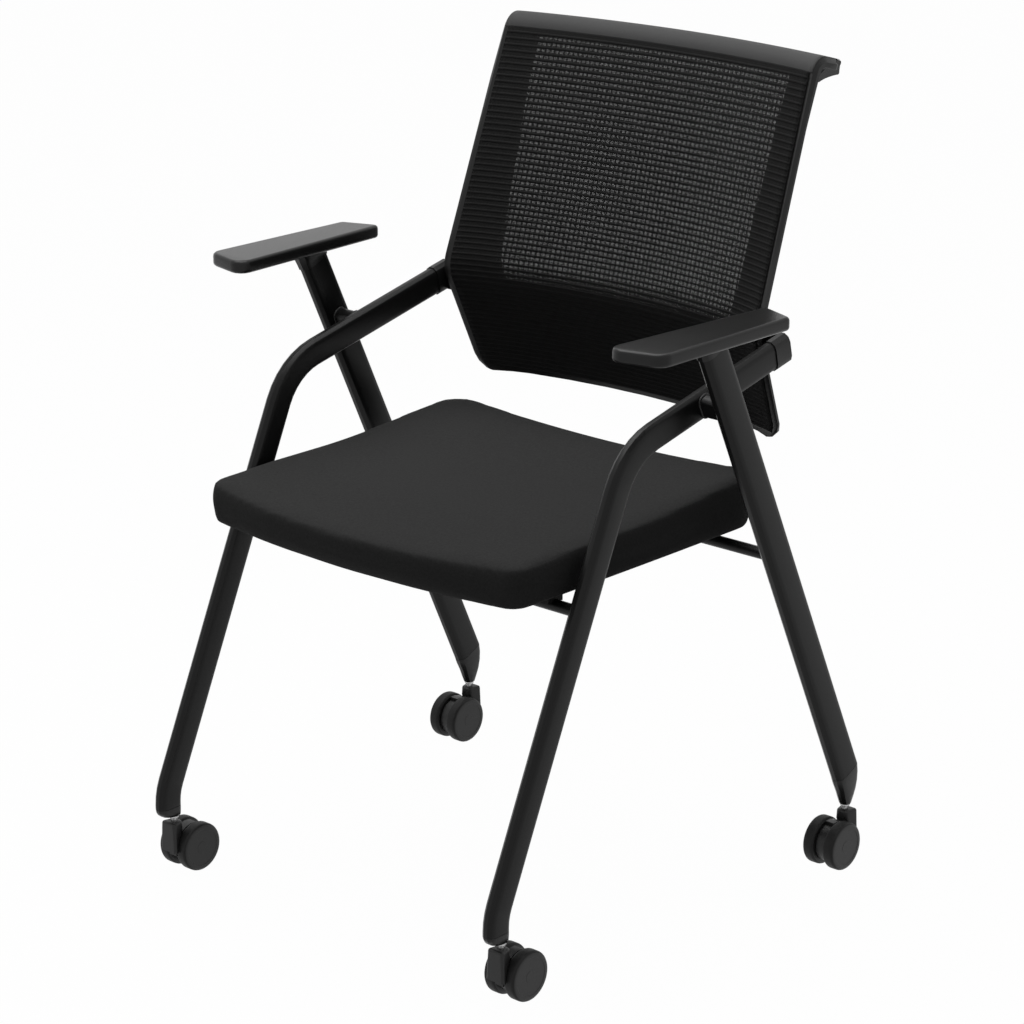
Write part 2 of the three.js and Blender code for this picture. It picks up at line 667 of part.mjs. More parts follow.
// The height of the cushion's top over its base: it drops to the front, rises to the rear, swells in
// the middle and is dished at the rear
function cushionHeight(x, y) {
  const across = x / seatHalfWidth;
  const along = (2 * y - seat.rearY - seat.noseY) / (seat.rearY - seat.noseY);
  const rear = THREE.MathUtils.smoothstep(y, seat.riseFromY, seat.riseToY);
  const front = 1 - THREE.MathUtils.smoothstep(y, seat.noseY, seat.dropFromY);
  const swell = (1 - across * across) * (seat.crown * (1 - along * along) - seat.dish * rear);
  return seat.sideHeight + seat.rearRise * rear - seat.frontDrop * front + swell;
}

// The outline drawn in, its nose set back towards the bottom; level runs from 0 there to 1 at the top
function cushionRing(inset, levelShare) {
  return drawnIn(seatOutline, inset).map((p) => {
    const nose = THREE.MathUtils.clamp((seat.cornerY - p.y) / (seat.cornerY - seat.noseY), 0, 1);
    const tuck = seat.noseTuck * nose * (1 - levelShare) * (1 - levelShare);
    const y = p.y + tuck;
    return new THREE.Vector3(p.x, y, cushionBaseZ + levelShare * cushionHeight(p.x, p.y));
  });
}

// The cushion: round under and over its drawn-in sides, with a swelling and dished top, let over the shell
function buildCushion() {
  const rings = [];
  for (let i = 0; i <= cushionRoundSteps; i += 1) {
    const angle = (i / cushionRoundSteps) * (Math.PI / 2);
    const lift = seat.bottomRoundUp * (1 - Math.cos(angle));
    rings.push(cushionRing(seat.bottomRoundIn * (1 - Math.sin(angle)), lift / seat.sideHeight));
  }
  const upperShare = 1 - seat.topRoundUp / seat.sideHeight;
  rings.push(cushionRing(seat.waist, (seat.bottomRoundUp / seat.sideHeight + upperShare) / 2));
  for (let i = 0; i <= cushionRoundSteps; i += 1) {
    const angle = (i / cushionRoundSteps) * (Math.PI / 2);
    const drop = seat.topRoundUp * (1 - Math.sin(angle));
    rings.push(cushionRing(seat.topRoundIn * (1 - Math.cos(angle)), 1 - drop / seat.sideHeight));
  }
  const middleY = (seat.rearY + seat.noseY) / 2;
  const topAt = (x, y) => new THREE.Vector3(x, y, cushionBaseZ + cushionHeight(x, y));
  const rim = drawnIn(seatOutline, seat.topRoundIn);
  for (const share of crownRingShares) {
    rings.push(rim.map((p) => topAt(p.x * (1 - share), THREE.MathUtils.lerp(p.y, middleY, share))));
  }
  const shellRoom = cushionRing(shell.inset - fitGap, 0);
  return cutBy(crowned(rings, topAt(0, middleY)), loft([
    level(shellRoom, seatBaseZ - overrun), level(shellRoom, seatBaseZ + shell.thick),
  ]));
}

// A loft whose last ring closes on a top point
function crowned(rings, top) {
  const count = rings[0].length;
  const triangles = [];
  for (let r = 0; r + 1 < rings.length; r += 1) {
    triangles.push(...wallBetween(r * count, (r + 1) * count, count));
  }
  const last = (rings.length - 1) * count;
  const apex = rings.length * count;
  for (let i = 0; i < count; i += 1) {
    triangles.push([last + i, last + ((i + 1) % count), apex]);
  }
  for (let i = 1; i + 1 < count; i += 1) {
    triangles.push([0, i + 1, i]);
  }
  return solid([...rings.flat(), top], triangles);
}

const screwPlaces = [];
for (const side of [1, -1]) {
  for (const y of [rearBarY - saddle.plateFront + screwInset, rearBarY + saddle.plateRear - screwInset]) {
    screwPlaces.push(new THREE.Vector2(side * saddle.x, y));
  }
}

// The moulded shell under the cushion, with stiffening ribs between the bars
function buildShell() {
  const outline = cushionRing(shell.inset, 0);
  const plate = loft([level(outline, seatBaseZ), level(outline, seatBaseZ + shell.thick)]);
  const ribs = [];
  const middleY = (frontBarY + rearBarY) / 2;
  const ribLength = rearBarY - frontBarY - 2 * shell.ribEndGap;
  for (let i = 0; i < shell.ribCount; i += 1) {
    const x = (i - (shell.ribCount - 1) / 2) * shell.ribSpacing;
    ribs.push(new THREE.BoxGeometry(shell.ribWidth, ribLength, shell.ribDrop + shell.thick / 2)
      .translate(x, middleY, seatBaseZ + (shell.thick / 2 - shell.ribDrop) / 2));
  }
  const holes = screwPlaces.map((p) => moved(
    pinZ(screw.radius + fitGap, -overrun, screw.reach + fitGap), p.x, p.y, seatBaseZ,
  ));
  return cutBy(joined(plate, ...ribs), ...holes);
}

// A saddle round the rear bar, hanging from a screwed plate
function buildSaddle() {
  const ring = [];
  const steps = 20;
  const outerRadius = barRadius + fitGap + saddle.ringWall;
  for (let i = 0; i < steps; i += 1) {
    const angle = (i / steps) * 2 * Math.PI;
    ring.push(new THREE.Vector2(rearBarY + outerRadius * Math.cos(angle), rearBarZ + outerRadius * Math.sin(angle)));
  }
  const [low, high] = [seatBaseZ - saddle.plate, seatBaseZ];
  const plate = [
    new THREE.Vector2(rearBarY - saddle.plateFront, low), new THREE.Vector2(rearBarY + saddle.plateRear, low),
    new THREE.Vector2(rearBarY + saddle.plateRear, high), new THREE.Vector2(rearBarY - saddle.plateFront, high),
  ];
  const half = saddle.width / 2;
  const bore = alongX(pinZ(barRadius + fitGap, -saddle.width, saddle.width, steps)).translate(0, rearBarY, rearBarZ);
  const above = new THREE.BoxGeometry(2 * saddle.width, 4 * outerRadius, outerRadius)
    .translate(0, rearBarY, seatBaseZ + outerRadius / 2);
  const holes = screwPlaces.filter((p) => p.x > 0).map((p) => moved(
    pinZ(screw.radius + fitGap, -saddle.plate - overrun, overrun), 0, p.y, seatBaseZ,
  ));
  const body = cutBy(joined(sidePrism(ring, -half, half), sidePrism(plate, -half, half)), bore, above, ...holes);
  return moved(body, saddle.x, 0, 0);
}

// A rest whose hollow foot sits on the front bar
function buildRest() {
  const bottomZ = frontBarZ + barRadius - rest.grip;
  const block = new THREE.BoxGeometry(rest.width, rest.depth, seatBaseZ - bottomZ)
    .translate(0, frontBarY, (seatBaseZ + bottomZ) / 2);
  const bar = alongX(pinZ(barRadius + fitGap, -rest.width, rest.width, roundSegments));
  return moved(cutBy(block, bar.translate(0, frontBarY, frontBarZ)), rest.x, 0, 0);
}

function buildScrew(place) {
  const plateZ = seatBaseZ - saddle.plate;
  const profile = [
    [0, plateZ - screw.headHeight], [screw.headRadius, plateZ - screw.headHeight], [screw.headRadius, plateZ],
    [screw.radius, plateZ], [screw.radius, seatBaseZ + screw.reach], [0, seatBaseZ + screw.reach],
  ];
  return moved(turned(profile.map(([r, z]) => new THREE.Vector2(r, z))), place.x, place.y, 0);
}

// The line of the back frame's front face at its side edges
const backPath = bentPath([
  new THREE.Vector2(backFootY, backFootZ), new THREE.Vector2(lumbarY, lumbarZ),
  new THREE.Vector2(crestY, crestZ), new THREE.Vector2(crestY + lipReach, crestZ - lipFall),
], [lumbarRadius, crestRadius]);

const backRuns = backPath.map((place, i) => (i === 0 ? 0 : Math.hypot(
  place.y - backPath[i - 1].y, place.z - backPath[i - 1].z,
)));
const backMarks = backRuns.map((_, i) => backRuns.slice(0, i + 1).reduce((sum, run) => sum + run));
const backLength = backMarks[backMarks.length - 1];
const crestDistance = backMarks[backPath.findIndex((place) => place.heading < 0) - 1];

// The station of the back's line at a distance from its lower end
function backStation(distance) {
  const i = Math.min(backPath.length - 1, Math.max(1, backMarks.findIndex((mark) => mark >= distance)));
  const share = (distance - backMarks[i - 1]) / backRuns[i];
  return station(
    THREE.MathUtils.lerp(backPath[i - 1].y, backPath[i].y, share),
    THREE.MathUtils.lerp(backPath[i - 1].z, backPath[i].z, share),
    THREE.MathUtils.lerp(backPath[i - 1].heading, backPath[i].heading, share),
  );
}

// The distance from the back's lower end at which its line first reaches a height
function backDistance(z) {
  const i = backPath.findIndex((place) => place.z >= z);
  return backMarks[i - 1] + (backRuns[i] * (z - backPath[i - 1].z)) / (backPath[i].z - backPath[i - 1].z);
}

// A value that runs straight between the heights where it is given
function between(z, heights, values) {
  const i = Math.min(heights.length - 1, Math.max(1, heights.findIndex((height) => height >= z)));
  const at = z >= heights[heights.length - 1] ? heights.length - 1 : i;
  const share = THREE.MathUtils.clamp((z - heights[at - 1]) / (heights[at] - heights[at - 1]), 0, 1);
  return THREE.MathUtils.lerp(values[at - 1], values[at], share);
}

function backHalfWidthAt(distance, z) {
  const gap = between(z, [backFootZ, lumbarZ, crestZ], [backSideGap.foot, backSideGap.lumbar, backSideGap.top]);
  const width = frontTube.x - gap;
  const atFoot = distance < backLength / 2;
  const radius = atFoot ? backCornerRadius.foot : backCornerRadius.top;
  const short = radius - Math.min(atFoot ? distance : backLength - distance, radius);
  return width - radius + Math.sqrt(radius * radius - short * short);
}

// The window's half width at a height, which is that of the frame less its border
const windowZs = [windowFootZ, windowKinkZ, windowTopZ];
const windowHalfWidths = windowZs.map((z, i) => (
  backHalfWidthAt(backDistance(z), z) - [border.foot, border.kink, border.top][i]
));

function windowHalfWidthAt(z) {
  return between(z, windowZs, windowHalfWidths);
}

// A point of the back's curved face, sunk below it by a distance
function backPoint(x, distance, sink) {
  const place = backStation(distance);
  const halfWidth = backHalfWidthAt(distance, place.z);
  const depth = between(
    place.z, [backFootZ, lumbarZ, crestZ - backDepthTopFall], [backDepth.foot, backDepth.lumbar, backDepth.top],
  );
  const wrap = between(place.z, [backFootZ, lumbarZ, crestZ], [borderWrap.lumbar, borderWrap.lumbar, borderWrap.top]);
  const windowX = windowHalfWidthAt(place.z);
  const inBorder = THREE.MathUtils.clamp((Math.abs(x) - windowX) / (halfWidth - windowX), 0, 1);
  const across = Math.min(1, Math.abs(x) / halfWidth);
  const hollow = depth * (1 - across * across) + wrap * (1 - inBorder * inBorder);
  return new THREE.Vector3(
    x, place.y + hollow + sink * Math.sin(place.heading), place.z - sink * Math.cos(place.heading),
  );
}

// A curved plate of cells between front and rear points, with some cells left open
function cellPlate(rows, columns, frontAt, rearAt, isOpen) {
  const points = [];
  const width = columns + 1;
  const half = (rows + 1) * width;
  for (const pointAt of [frontAt, rearAt]) {
    for (let r = 0; r <= rows; r += 1) {
      for (let c = 0; c <= columns; c += 1) {
        points.push(pointAt(r, c));
      }
    }
  }
  const corner = (r, c) => r * width + c;
  const filled = (r, c) => r >= 0 && r < rows && c >= 0 && c < columns && !isOpen(r, c);
  const triangles = [];
  const side = (from, to) => triangles.push([from, to, to + half], [from, to + half, from + half]);
  for (let r = 0; r < rows; r += 1) {
    for (let c = 0; c < columns; c += 1) {
      if (!filled(r, c)) continue;
      const [a, b, d, e] = [corner(r, c), corner(r, c + 1), corner(r + 1, c + 1), corner(r + 1, c)];
      triangles.push([a, b, d], [a, d, e]);
      triangles.push([a + half, d + half, b + half], [a + half, e + half, d + half]);
      if (!filled(r - 1, c)) side(b, a);
      if (!filled(r + 1, c)) side(e, d);
      if (!filled(r, c - 1)) side(a, e);
      if (!filled(r, c + 1)) side(d, b);
    }
  }
  const used = [...new Set(triangles.flat())].sort((m, n) => m - n);
  const renumbered = new Map(used.map((old, i) => [old, i]));
  return solid(used.map((i) => points[i]), triangles.map((t) => t.map((i) => renumbered.get(i))));
}

// Stops with more put evenly between those that lie further apart than a step
function filledIn(stops, step) {
  const out = [stops[0]];
  for (let i = 1; i < stops.length; i += 1) {
    const pieces = Math.ceil((stops[i] - stops[i - 1]) / step);
    for (let k = 1; k <= pieces; k += 1) {
      out.push(stops[i - 1] + ((stops[i] - stops[i - 1]) * k) / pieces);
    }
  }
  return out;
}

const windowLow = backDistance(windowFootZ);
const windowHigh = backDistance(windowTopZ);

// The frame's thickness, which grows towards the lip
function backThickAt(distance) {
  const swell = THREE.MathUtils.smoothstep(distance, backDistance(crestZ - lipSwellFall), crestDistance);
  return THREE.MathUtils.lerp(backThick, lipThick, swell);
}

// The moulded frame round the window, with its lip rolled back at the top
function buildBackRing() {
  const bends = backMarks.slice(1, -1);
  const bottomCorner = [backEdge / 2, backCornerRadius.foot / 2, backCornerRadius.foot];
  const stops = [
    0, ...bottomCorner, windowLow, backDistance(windowKinkZ), ...bends, backDistance(crestZ - lipSwellFall),
    windowHigh, backLength - backCornerRadius.top, backLength - backEdge / 2, backLength,
  ].sort((a, b) => a - b);
  const rows = filledIn(stops, backRowStep);
  const innerShares = Array.from({ length: backColumns + 1 }, (_, i) => (2 * i) / backColumns - 1);
  const columns = innerShares.length + 2 * borderColumnShares.length - 1;
  const place = (r, c) => {
    const distance = rows[r];
    const z = backStation(distance).z;
    const halfWidth = backHalfWidthAt(distance, z);
    const windowX = windowHalfWidthAt(z);
    const fromSide = Math.min(c, columns - c);
    const sign = c < columns / 2 ? -1 : 1;
    if (fromSide < borderColumnShares.length) {
      return { x: sign * THREE.MathUtils.lerp(windowX, halfWidth, borderColumnShares[fromSide]), distance };
    }
    return { x: innerShares[c - borderColumnShares.length] * windowX, distance };
  };
  const atRim = (r, c) => r === 0 || r === rows.length - 1 || c === 0 || c === columns;
  const isOpen = (r, c) => {
    const middle = (rows[r] + rows[r + 1]) / 2;
    const inside = c >= borderColumnShares.length && c < columns - borderColumnShares.length;
    return inside && middle > windowLow && middle < windowHigh;
  };
  const at = (edgeShare, innerShare) => (r, c) => {
    const p = place(r, c);
    return backPoint(p.x, p.distance, backThickAt(p.distance) * (atRim(r, c) ? edgeShare : innerShare));
  };
  return cellPlate(rows.length - 1, columns, at(1 / 3, 0), at(2 / 3, 1), isOpen);
}

const tubeEnd = station(backJointY, backJointZ, headingOf(frontCorners[2], frontCorners[3]));

// The sleeve over a front tube's end and the lug that carries it behind the frame's side
function buildSocket() {
  const sleeveOval = flatOval(frontTube.thick + 2 * socket.wall, frontTube.depth + 2 * socket.wall);
  const sleeve = loft([socket.floor, socket.floor - socket.length].map((along) => ringAt(
    sleeveOval, pointAlong(tubeEnd, along), frontTube.x,
  )));
  const distance = backDistance(backJointZ);
  const inX = backHalfWidthAt(distance, backJointZ) - socket.lugLap;
  const frontY = backPoint(inX, distance, backThick / 2).y;
  const low = backJointZ - socket.lugHalfHeight;
  const high = backJointZ + socket.lugHalfHeight;
  const lug = sidePrism([
    new THREE.Vector2(frontY, low), new THREE.Vector2(frontY + socket.lugDepth, low),
    new THREE.Vector2(frontY + socket.lugDepth, high), new THREE.Vector2(frontY, high),
  ], inX, frontTube.x - frontTube.thick / 2);
  return joined(sleeve, lug);
}

function buildTubePocket() {
  const oval = flatOval(frontTube.thick + 2 * fitGap, frontTube.depth + 2 * fitGap);
  return loft([fitGap, -socket.length - frontTube.depth].map((along) => ringAt(
    oval, pointAlong(tubeEnd, along), frontTube.x,
  )));
}

function buildBackFrame() {
  const holder = buildSocket();
  const pocket = buildTubePocket();
  return cutBy(joined(buildBackRing(), holder, mirrored(holder)), pocket, mirrored(pocket));
}

// The net: ribs across and a few uprights, inside a selvedge that fills the window
function buildNet() {
  const from = windowLow + windowGap;
  const to = windowHigh - windowGap;
  const slot = (to - from - 2 * net.selvedge - net.ribs * net.rib) / (net.ribs + 1);
  const rowStops = [from, from + net.selvedge];
  for (let i = 0; i < net.ribs; i += 1) {
    rowStops.push(rowStops[rowStops.length - 1] + slot);
    rowStops.push(rowStops[rowStops.length - 1] + net.rib);
  }
  rowStops.push(to - net.selvedge, to);
  const columns = 2 * net.uprights + 3;
  const columnX = (c, z) => {
    const halfWidth = windowHalfWidthAt(z) - windowGap;
    const open = (2 * (halfWidth - net.selvedge) - net.uprights * net.upright) / (net.uprights + 1);
    if (c === 0) return -halfWidth;
    if (c === columns) return halfWidth;
    const before = Math.floor((c - 1) / 2);
    const inUpright = (c - 1) % 2;
    return -halfWidth + net.selvedge + before * (open + net.upright) + inUpright * open;
  };
  const at = (sink) => (r, c) => {
    const distance = rowStops[r];
    return backPoint(columnX(c, backStation(distance).z), distance, sink);
  };
  const isOpen = (r, c) => r % 2 === 1 && c % 2 === 1;
  return cellPlate(rowStops.length - 1, columns, at(net.inset), at(net.inset + net.thick), isOpen);
}

addPair('front_tube', buildFrontTube(), satinBlack);
addPair('rear_leg', buildRearTube(), satinBlack);
addPair('tube_spacer', buildSpacer(), satinBlack);
addPiece('front_bar', buildCrossBar(frontTube, frontBarY, frontBarZ), satinBlack);
addPiece('rear_bar', buildCrossBar(rearTube, rearBarY, rearBarZ), satinBlack);
addPair('front_foot', buildFrontFoot(), blackPlastic);
addPair('rear_foot', buildRearFoot(), blackPlastic);
addPair('armrest', buildArmrest(), blackPlastic);
addPiece('back_frame', buildBackFrame(), blackPlastic);
addPiece('back_net', buildNet(), netBlack);
addPiece('seat_cushion', buildCushion(), seatFabric);
addPiece('seat_shell', buildShell(), blackPlastic);
addPair('hinge_saddle', buildSaddle(), satinBlack);
addPair('seat_rest', buildRest(), rubber);
screwPlaces.forEach((place, i) => addPiece(`saddle_screw_${i + 1}`, buildScrew(place), zincSteel));
for (const [side, sign] of [['left', 1], ['right', -1]]) {
  addCastor(`front_${side}`, sign * frontTube.x, frontFootY + foot.stemShift, 1);
  addCastor(`rear_${side}`, sign * rearTube.x, rearFootY, -1);
}

// The chair is centred over the origin
const bounds = new THREE.Box3().setFromObject(chair);
chair.position.set(0, -(bounds.min.y + bounds.max.y) / 2, 0);
chair.updateMatrixWorld(true);

export default chair;
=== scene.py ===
import math

import bmesh
import bpy
import numpy as np
from mathutils import Euler, Matrix, Vector
from mathutils.geometry import convex_hull_2d


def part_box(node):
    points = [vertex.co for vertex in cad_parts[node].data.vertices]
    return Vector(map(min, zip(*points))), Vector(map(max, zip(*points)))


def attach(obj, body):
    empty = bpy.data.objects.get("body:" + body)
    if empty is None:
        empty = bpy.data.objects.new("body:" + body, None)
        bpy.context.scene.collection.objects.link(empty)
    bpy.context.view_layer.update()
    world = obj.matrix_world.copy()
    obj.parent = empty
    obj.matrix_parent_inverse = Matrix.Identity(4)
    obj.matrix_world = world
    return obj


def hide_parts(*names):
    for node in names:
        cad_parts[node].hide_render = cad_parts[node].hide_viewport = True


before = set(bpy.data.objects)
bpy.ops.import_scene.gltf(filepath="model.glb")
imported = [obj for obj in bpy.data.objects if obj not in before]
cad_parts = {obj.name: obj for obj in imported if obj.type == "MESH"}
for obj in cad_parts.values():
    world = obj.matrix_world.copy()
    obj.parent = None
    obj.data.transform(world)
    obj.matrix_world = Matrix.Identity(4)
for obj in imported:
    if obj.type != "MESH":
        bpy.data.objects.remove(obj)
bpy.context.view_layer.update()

# Camera of the photograph: where it stands, and how it is turned
camera_place = (2.274334, -2.543752, 1.500128)
camera_azimuth = math.radians(41.767)
camera_elevation = math.radians(17.830)
camera_roll = math.radians(0.2454)
sensor_width = 36.0
camera_lens = 117.44
camera_shift = (0.001464, -0.002082)

# Floor and light, with each lamp as (place, aim, size, power)
floor_half = 14.0
floor_color = (0.80, 0.80, 0.80)
floor_whiteness = 0.985
world_level = 0.08
lamps = {
    "overhead_softbox": ((-0.3, -0.1, 2.5), (0, 0, 0.45), 2.0, 44.0),
    "left_softbox": ((-1.9, -1.9, 1.5), (0, 0, 0.5), 1.4, 2.0),
}

# Places read from the solids are rounded to whole micrometres
place_digits = 6

# Line of the back's front face at its side edges, as (y, z) in metres
lumbar_corner = (0.135836, 0.609)
foot_setback = 0.0535
foot_fall = 0.128
crest_setback = 0.100
crest_lift = 0.280
lip_reach = 0.044812
lip_fall = 0.01149
foot_corner = (lumbar_corner[0] + foot_setback, lumbar_corner[1] - foot_fall)
crest_corner = (lumbar_corner[0] + crest_setback, lumbar_corner[1] + crest_lift)
lip_corner = (crest_corner[0] + lip_reach, crest_corner[1] - lip_fall)
lumbar_radius = 0.045
crest_radius = 0.020
bend_step = 0.002
line_points = 600
corner_steps = 9
back_half_width = {"foot": 0.217, "lumbar": 0.226, "top": 0.218}
back_depth = {"foot": 0.030, "lumbar": 0.038, "top": 0.025}
depth_top_fall = 0.117
border_wrap = {"lumbar": 0.007, "top": 0.002}
window_rail = {"foot": 0.065, "top": 0.025}
window_kink_lift = 0.035
window_border = {"foot": 0.065, "kink": 0.055, "top": 0.039}
back_corner_radius = {"foot": 0.020, "top": 0.006}

# Net of the back: padded ribs, fine threads between them, and uprights behind
row_pitch_foot = 0.0057
row_pitch_growth = 0.0037
rib_share = 0.44
rib_thick = 0.0012
fine_threads = 4
fine_share = 0.925
fine_thick = 0.00012
upright_pitch = 0.00625
upright_width = 0.0018
upright_thick = 0.0003
net_lift = 0.0007
net_edge_inset = 0.009
net_crest_room = 0.022
across_points = 61
rib_sides = 8
fine_sides = 4
binding_radius = 0.0008
binding_step = 0.006
binding_rail_points = 60
bead_sides = 8

# Cloth band over the back's top lip
band_lift = 0.0001
band_thick = 0.0005
band_edge_inset = 0.004
band_end_inset = 0.0044
band_rows = 40

# Cove under the back's lip: how far down it starts, and its depths at its start, bend and end
cove_drop = 0.032
cove_sinks = (0.012, 0.021, 0.0156)
cove_bed = 0.009
cove_end_inset = 0.0015
cove_columns = 81
cove_steps = 12
nose_steps = 11

# Seat cushion: width, rear edge and base from its solid, and places along it from that edge
seat_low, seat_high = np.round(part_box("seat_cushion"), place_digits)
seat_half_width = seat_high[0]
seat_rear_y = seat_high[1]
seat_base_z = seat_low[2]
seat_corner_y = seat_rear_y - 0.395
seat_nose_y = seat_rear_y - 0.431
seat_shoulder = (0.112, seat_rear_y - 0.422)
seat_rounds = {"rear": 0.038, "front": 0.025, "nose": 0.420}
side_height = 0.0469
bottom_round = (0.008, 0.012)
top_round = (0.005, 0.005)
side_bulge = 0.002
nose_tuck = 0.015
crown = 0.004
rear_dish = 0.010
rear_rise = 0.013
rise_reach = (seat_rear_y - 0.230, seat_rear_y + 0.005)
front_drop = 0.004
drop_reach = seat_rear_y - 0.290
outline_step = 0.008
side_shares = (0.25, 0.5, 0.75)
bottom_steps = 5
top_steps = 6
inner_rings = 14

# How the cushion is stuffed
cushion_voxel = 0.004
cushion_pressure = 4.0
cushion_frames = 20
cushion_quality = 5
cushion_ease = 0.5
cushion_reach = 0.0015
cushion_hold = 0.003

# Wheels of the castors
wheel_segments = 96
edge_steps = 7
wheel_edge = 0.0036
face_radius = 0.0205
face_dish = 0.0003
cap_radius = 0.0068
cap_rise = 0.0002
axle_room = 0.0033
axle_depth = 0.0031

# Front panel of the castor hoods
panel_foot_z = 0.0265
panel_room = 0.0072

# Weld beads round the bars and spacers
bead_radius = 0.0016
bead_ripple = 0.0011
bead_swell = 0.12
end_reach = 0.0001

# Edges: how far points are joined, and which edges are crisp or softened
merge_reach = 0.000002
weld_reach = 0.00001
edge_softness = 0.0006
crisp_angle = math.radians(35)
soft_angle = math.radians(32)

# Reliefs of the finishes
coat_depth = 0.00002
rubber_depth = 0.00003
plate_depth = 0.00001
weld_depth = 0.00005
cloth_depth = 0.00012
yarn_depth = 0.00015
thread_depth = 0.00010

# Colour of the node groups until a finish gives one
plain_black = (0.02, 0.02, 0.02, 1)

# Where the grain, the wear, the dust with its painted sheen on up-facing surfaces and the threads set in,
# as shares and as scales per metre
cloud_share = 0.03
pebble_range = (0.35, 0.65)
worn_edge_range = (0.56, 0.68)
wear_patch_scale = 70.0
wear_patch_range = (0.42, 0.62)
worn_smoothness = 0.8
dust_and_sheen_facing_range = (0.1, 0.95)
dust_speck_scale = 260.0
dust_speck_range = (0.35, 0.75)
side_facing = 0.7
top_facing = 0.6
slub_scale = 420.0
strand_slant = 0.7
strand_range = (-0.7, 0.7)
fluff_scale = 900.0


def bent_line(corners, radii, step):
    """A line through corners, with the middle ones rounded, as arrays of run, y, z and heading."""
    points = [Vector(corner) for corner in corners]
    line = [points[0]]
    for before, corner, after, radius in zip(points, points[1:], points[2:], radii):
        arrive = (corner - before).normalized()
        leave = (after - corner).normalized()
        turn = math.atan2(arrive.x * leave.y - arrive.y * leave.x, arrive.dot(leave))
        reach = radius * math.tan(abs(turn) / 2)
        start = corner - arrive * reach
        side = Vector((-arrive.y, arrive.x)) * math.copysign(radius, turn)
        center = start + side
        count = max(2, math.ceil(radius * abs(turn) / step))
        for i in range(count + 1):
            line.append(center + Matrix.Rotation(turn * i / count, 2) @ -side)
    line.append(points[-1])
    places = np.array([tuple(point) for point in line])
    steps = np.hypot(*np.diff(places, axis=0).T)
    runs = np.concatenate(([0.0], np.cumsum(steps)))
    dense = np.linspace(0, runs[-1], line_points)
    y = np.interp(dense, runs, places[:, 0])
    z = np.interp(dense, runs, places[:, 1])
    return dense, y, z, np.arctan2(np.gradient(z), np.gradient(y))


back_runs, back_ys, back_zs, back_headings = bent_line(
    [foot_corner, lumbar_corner, crest_corner, lip_corner], [lumbar_radius, crest_radius], bend_step
)
back_length = back_runs[-1]
crest_run = back_runs[int(np.argmax(back_zs))]
net_top_run = crest_run - net_crest_room


def half_width_at(z):
    """Half the back's width at a height."""
    heights = [foot_corner[1], lumbar_corner[1], crest_corner[1]]
    return np.interp(z, heights, [back_half_width[k] for k in ("foot", "lumbar", "top")])


def corner_loss(run):
    """By how much the back's rounded corners narrow it at a run."""
    loss = np.zeros_like(run)
    for radius, from_edge in (
        (back_corner_radius["foot"], run), (back_corner_radius["top"], back_length - run)
    ):
        short = radius - np.clip(from_edge, 0, radius)
        loss = loss + radius - np.sqrt(radius**2 - short**2)
    return loss


window_heights = [
    foot_corner[1] + window_rail["foot"],
    lumbar_corner[1] + window_kink_lift,
    crest_corner[1] - window_rail["top"],
]
window_halves = [
    half_width_at(z) - window_border[k] for z, k in zip(window_heights, ("foot", "kink", "top"))
]


def back_point(x, run, sink):
    """Points of the back's curved face, sunk behind it, for arrays of x, run and sink."""
    y = np.interp(run, back_runs, back_ys)
    z = np.interp(run, back_runs, back_zs)
    heading = np.interp(run, back_runs, back_headings)
    half = half_width_at(z)
    depth_heights = [foot_corner[1], lumbar_corner[1], crest_corner[1] - depth_top_fall]
    depth = np.interp(z, depth_heights, [back_depth[k] for k in ("foot", "lumbar", "top")])
    wrap_heights = [lumbar_corner[1], crest_corner[1]]
    wrap = np.interp(z, wrap_heights, [border_wrap["lumbar"], border_wrap["top"]])
    window = np.interp(z, window_heights, window_halves)
    in_border = np.clip((np.abs(x) - window) / (half - window), 0, 1)
    across = np.minimum(1, np.abs(x) / half)
    hollow = depth * (1 - across**2) + wrap * (1 - in_border**2)
    return np.stack(
        np.broadcast_arrays(x, y + hollow + sink * np.sin(heading), z - sink * np.cos(heading)), axis=-1
    )


def link(obj):
    """Puts a new object into the scene."""
    bpy.context.scene.collection.objects.link(obj)
    return obj


def mesh_object(name, points, faces, smooth=True):
    """A mesh object at the origin, in the row frame."""
    mesh = bpy.data.meshes.new(name)
    mesh.from_pydata([tuple(point) for point in points], [], [tuple(face) for face in faces])
    mesh.validate()
    if smooth:
        mesh.shade_smooth()
    return link(bpy.data.objects.new(name, mesh))


def ring_faces(rows, around, closed=False):
    """Faces between rows of points that each go round; if closed, the last row meets the first."""
    faces = []
    for r in range(rows if closed else rows - 1):
        after = (r + 1) % rows
        for a in range(around):
            b = (a + 1) % around
            faces.append((r * around + a, r * around + b, after * around + b, after * around + a))
    return faces


def bar(rings):
    """Points and faces of a closed bar through rings of points, given as an array (rings, around, 3)."""
    count, around = rings.shape[:2]
    start = tuple(range(around - 1, -1, -1))
    end = tuple((count - 1) * around + a for a in range(around))
    return rings.reshape(-1, 3), ring_faces(count, around) + [start, end]


def gathered(parts):
    """Several (points, faces) as one."""
    points, faces, start = [], [], 0
    for part_points, part_faces in parts:
        points.append(np.asarray(part_points))
        faces.extend(tuple(i + start for i in face) for face in part_faces)
        start += len(part_points)
    return np.concatenate(points), faces


def net_half_width(run):
    """Half the width that the net covers at a run of the back."""
    z = np.interp(run, back_runs, back_zs)
    return half_width_at(z) - corner_loss(run) - net_edge_inset


def net_rows():
    """The runs at which the net's rows start; the rows are wider towards the top, where it is stretched."""
    rows = [net_edge_inset]
    while rows[-1] < net_top_run:
        rows.append(rows[-1] + row_pitch_foot + row_pitch_growth * rows[-1])
    return rows[:-1]


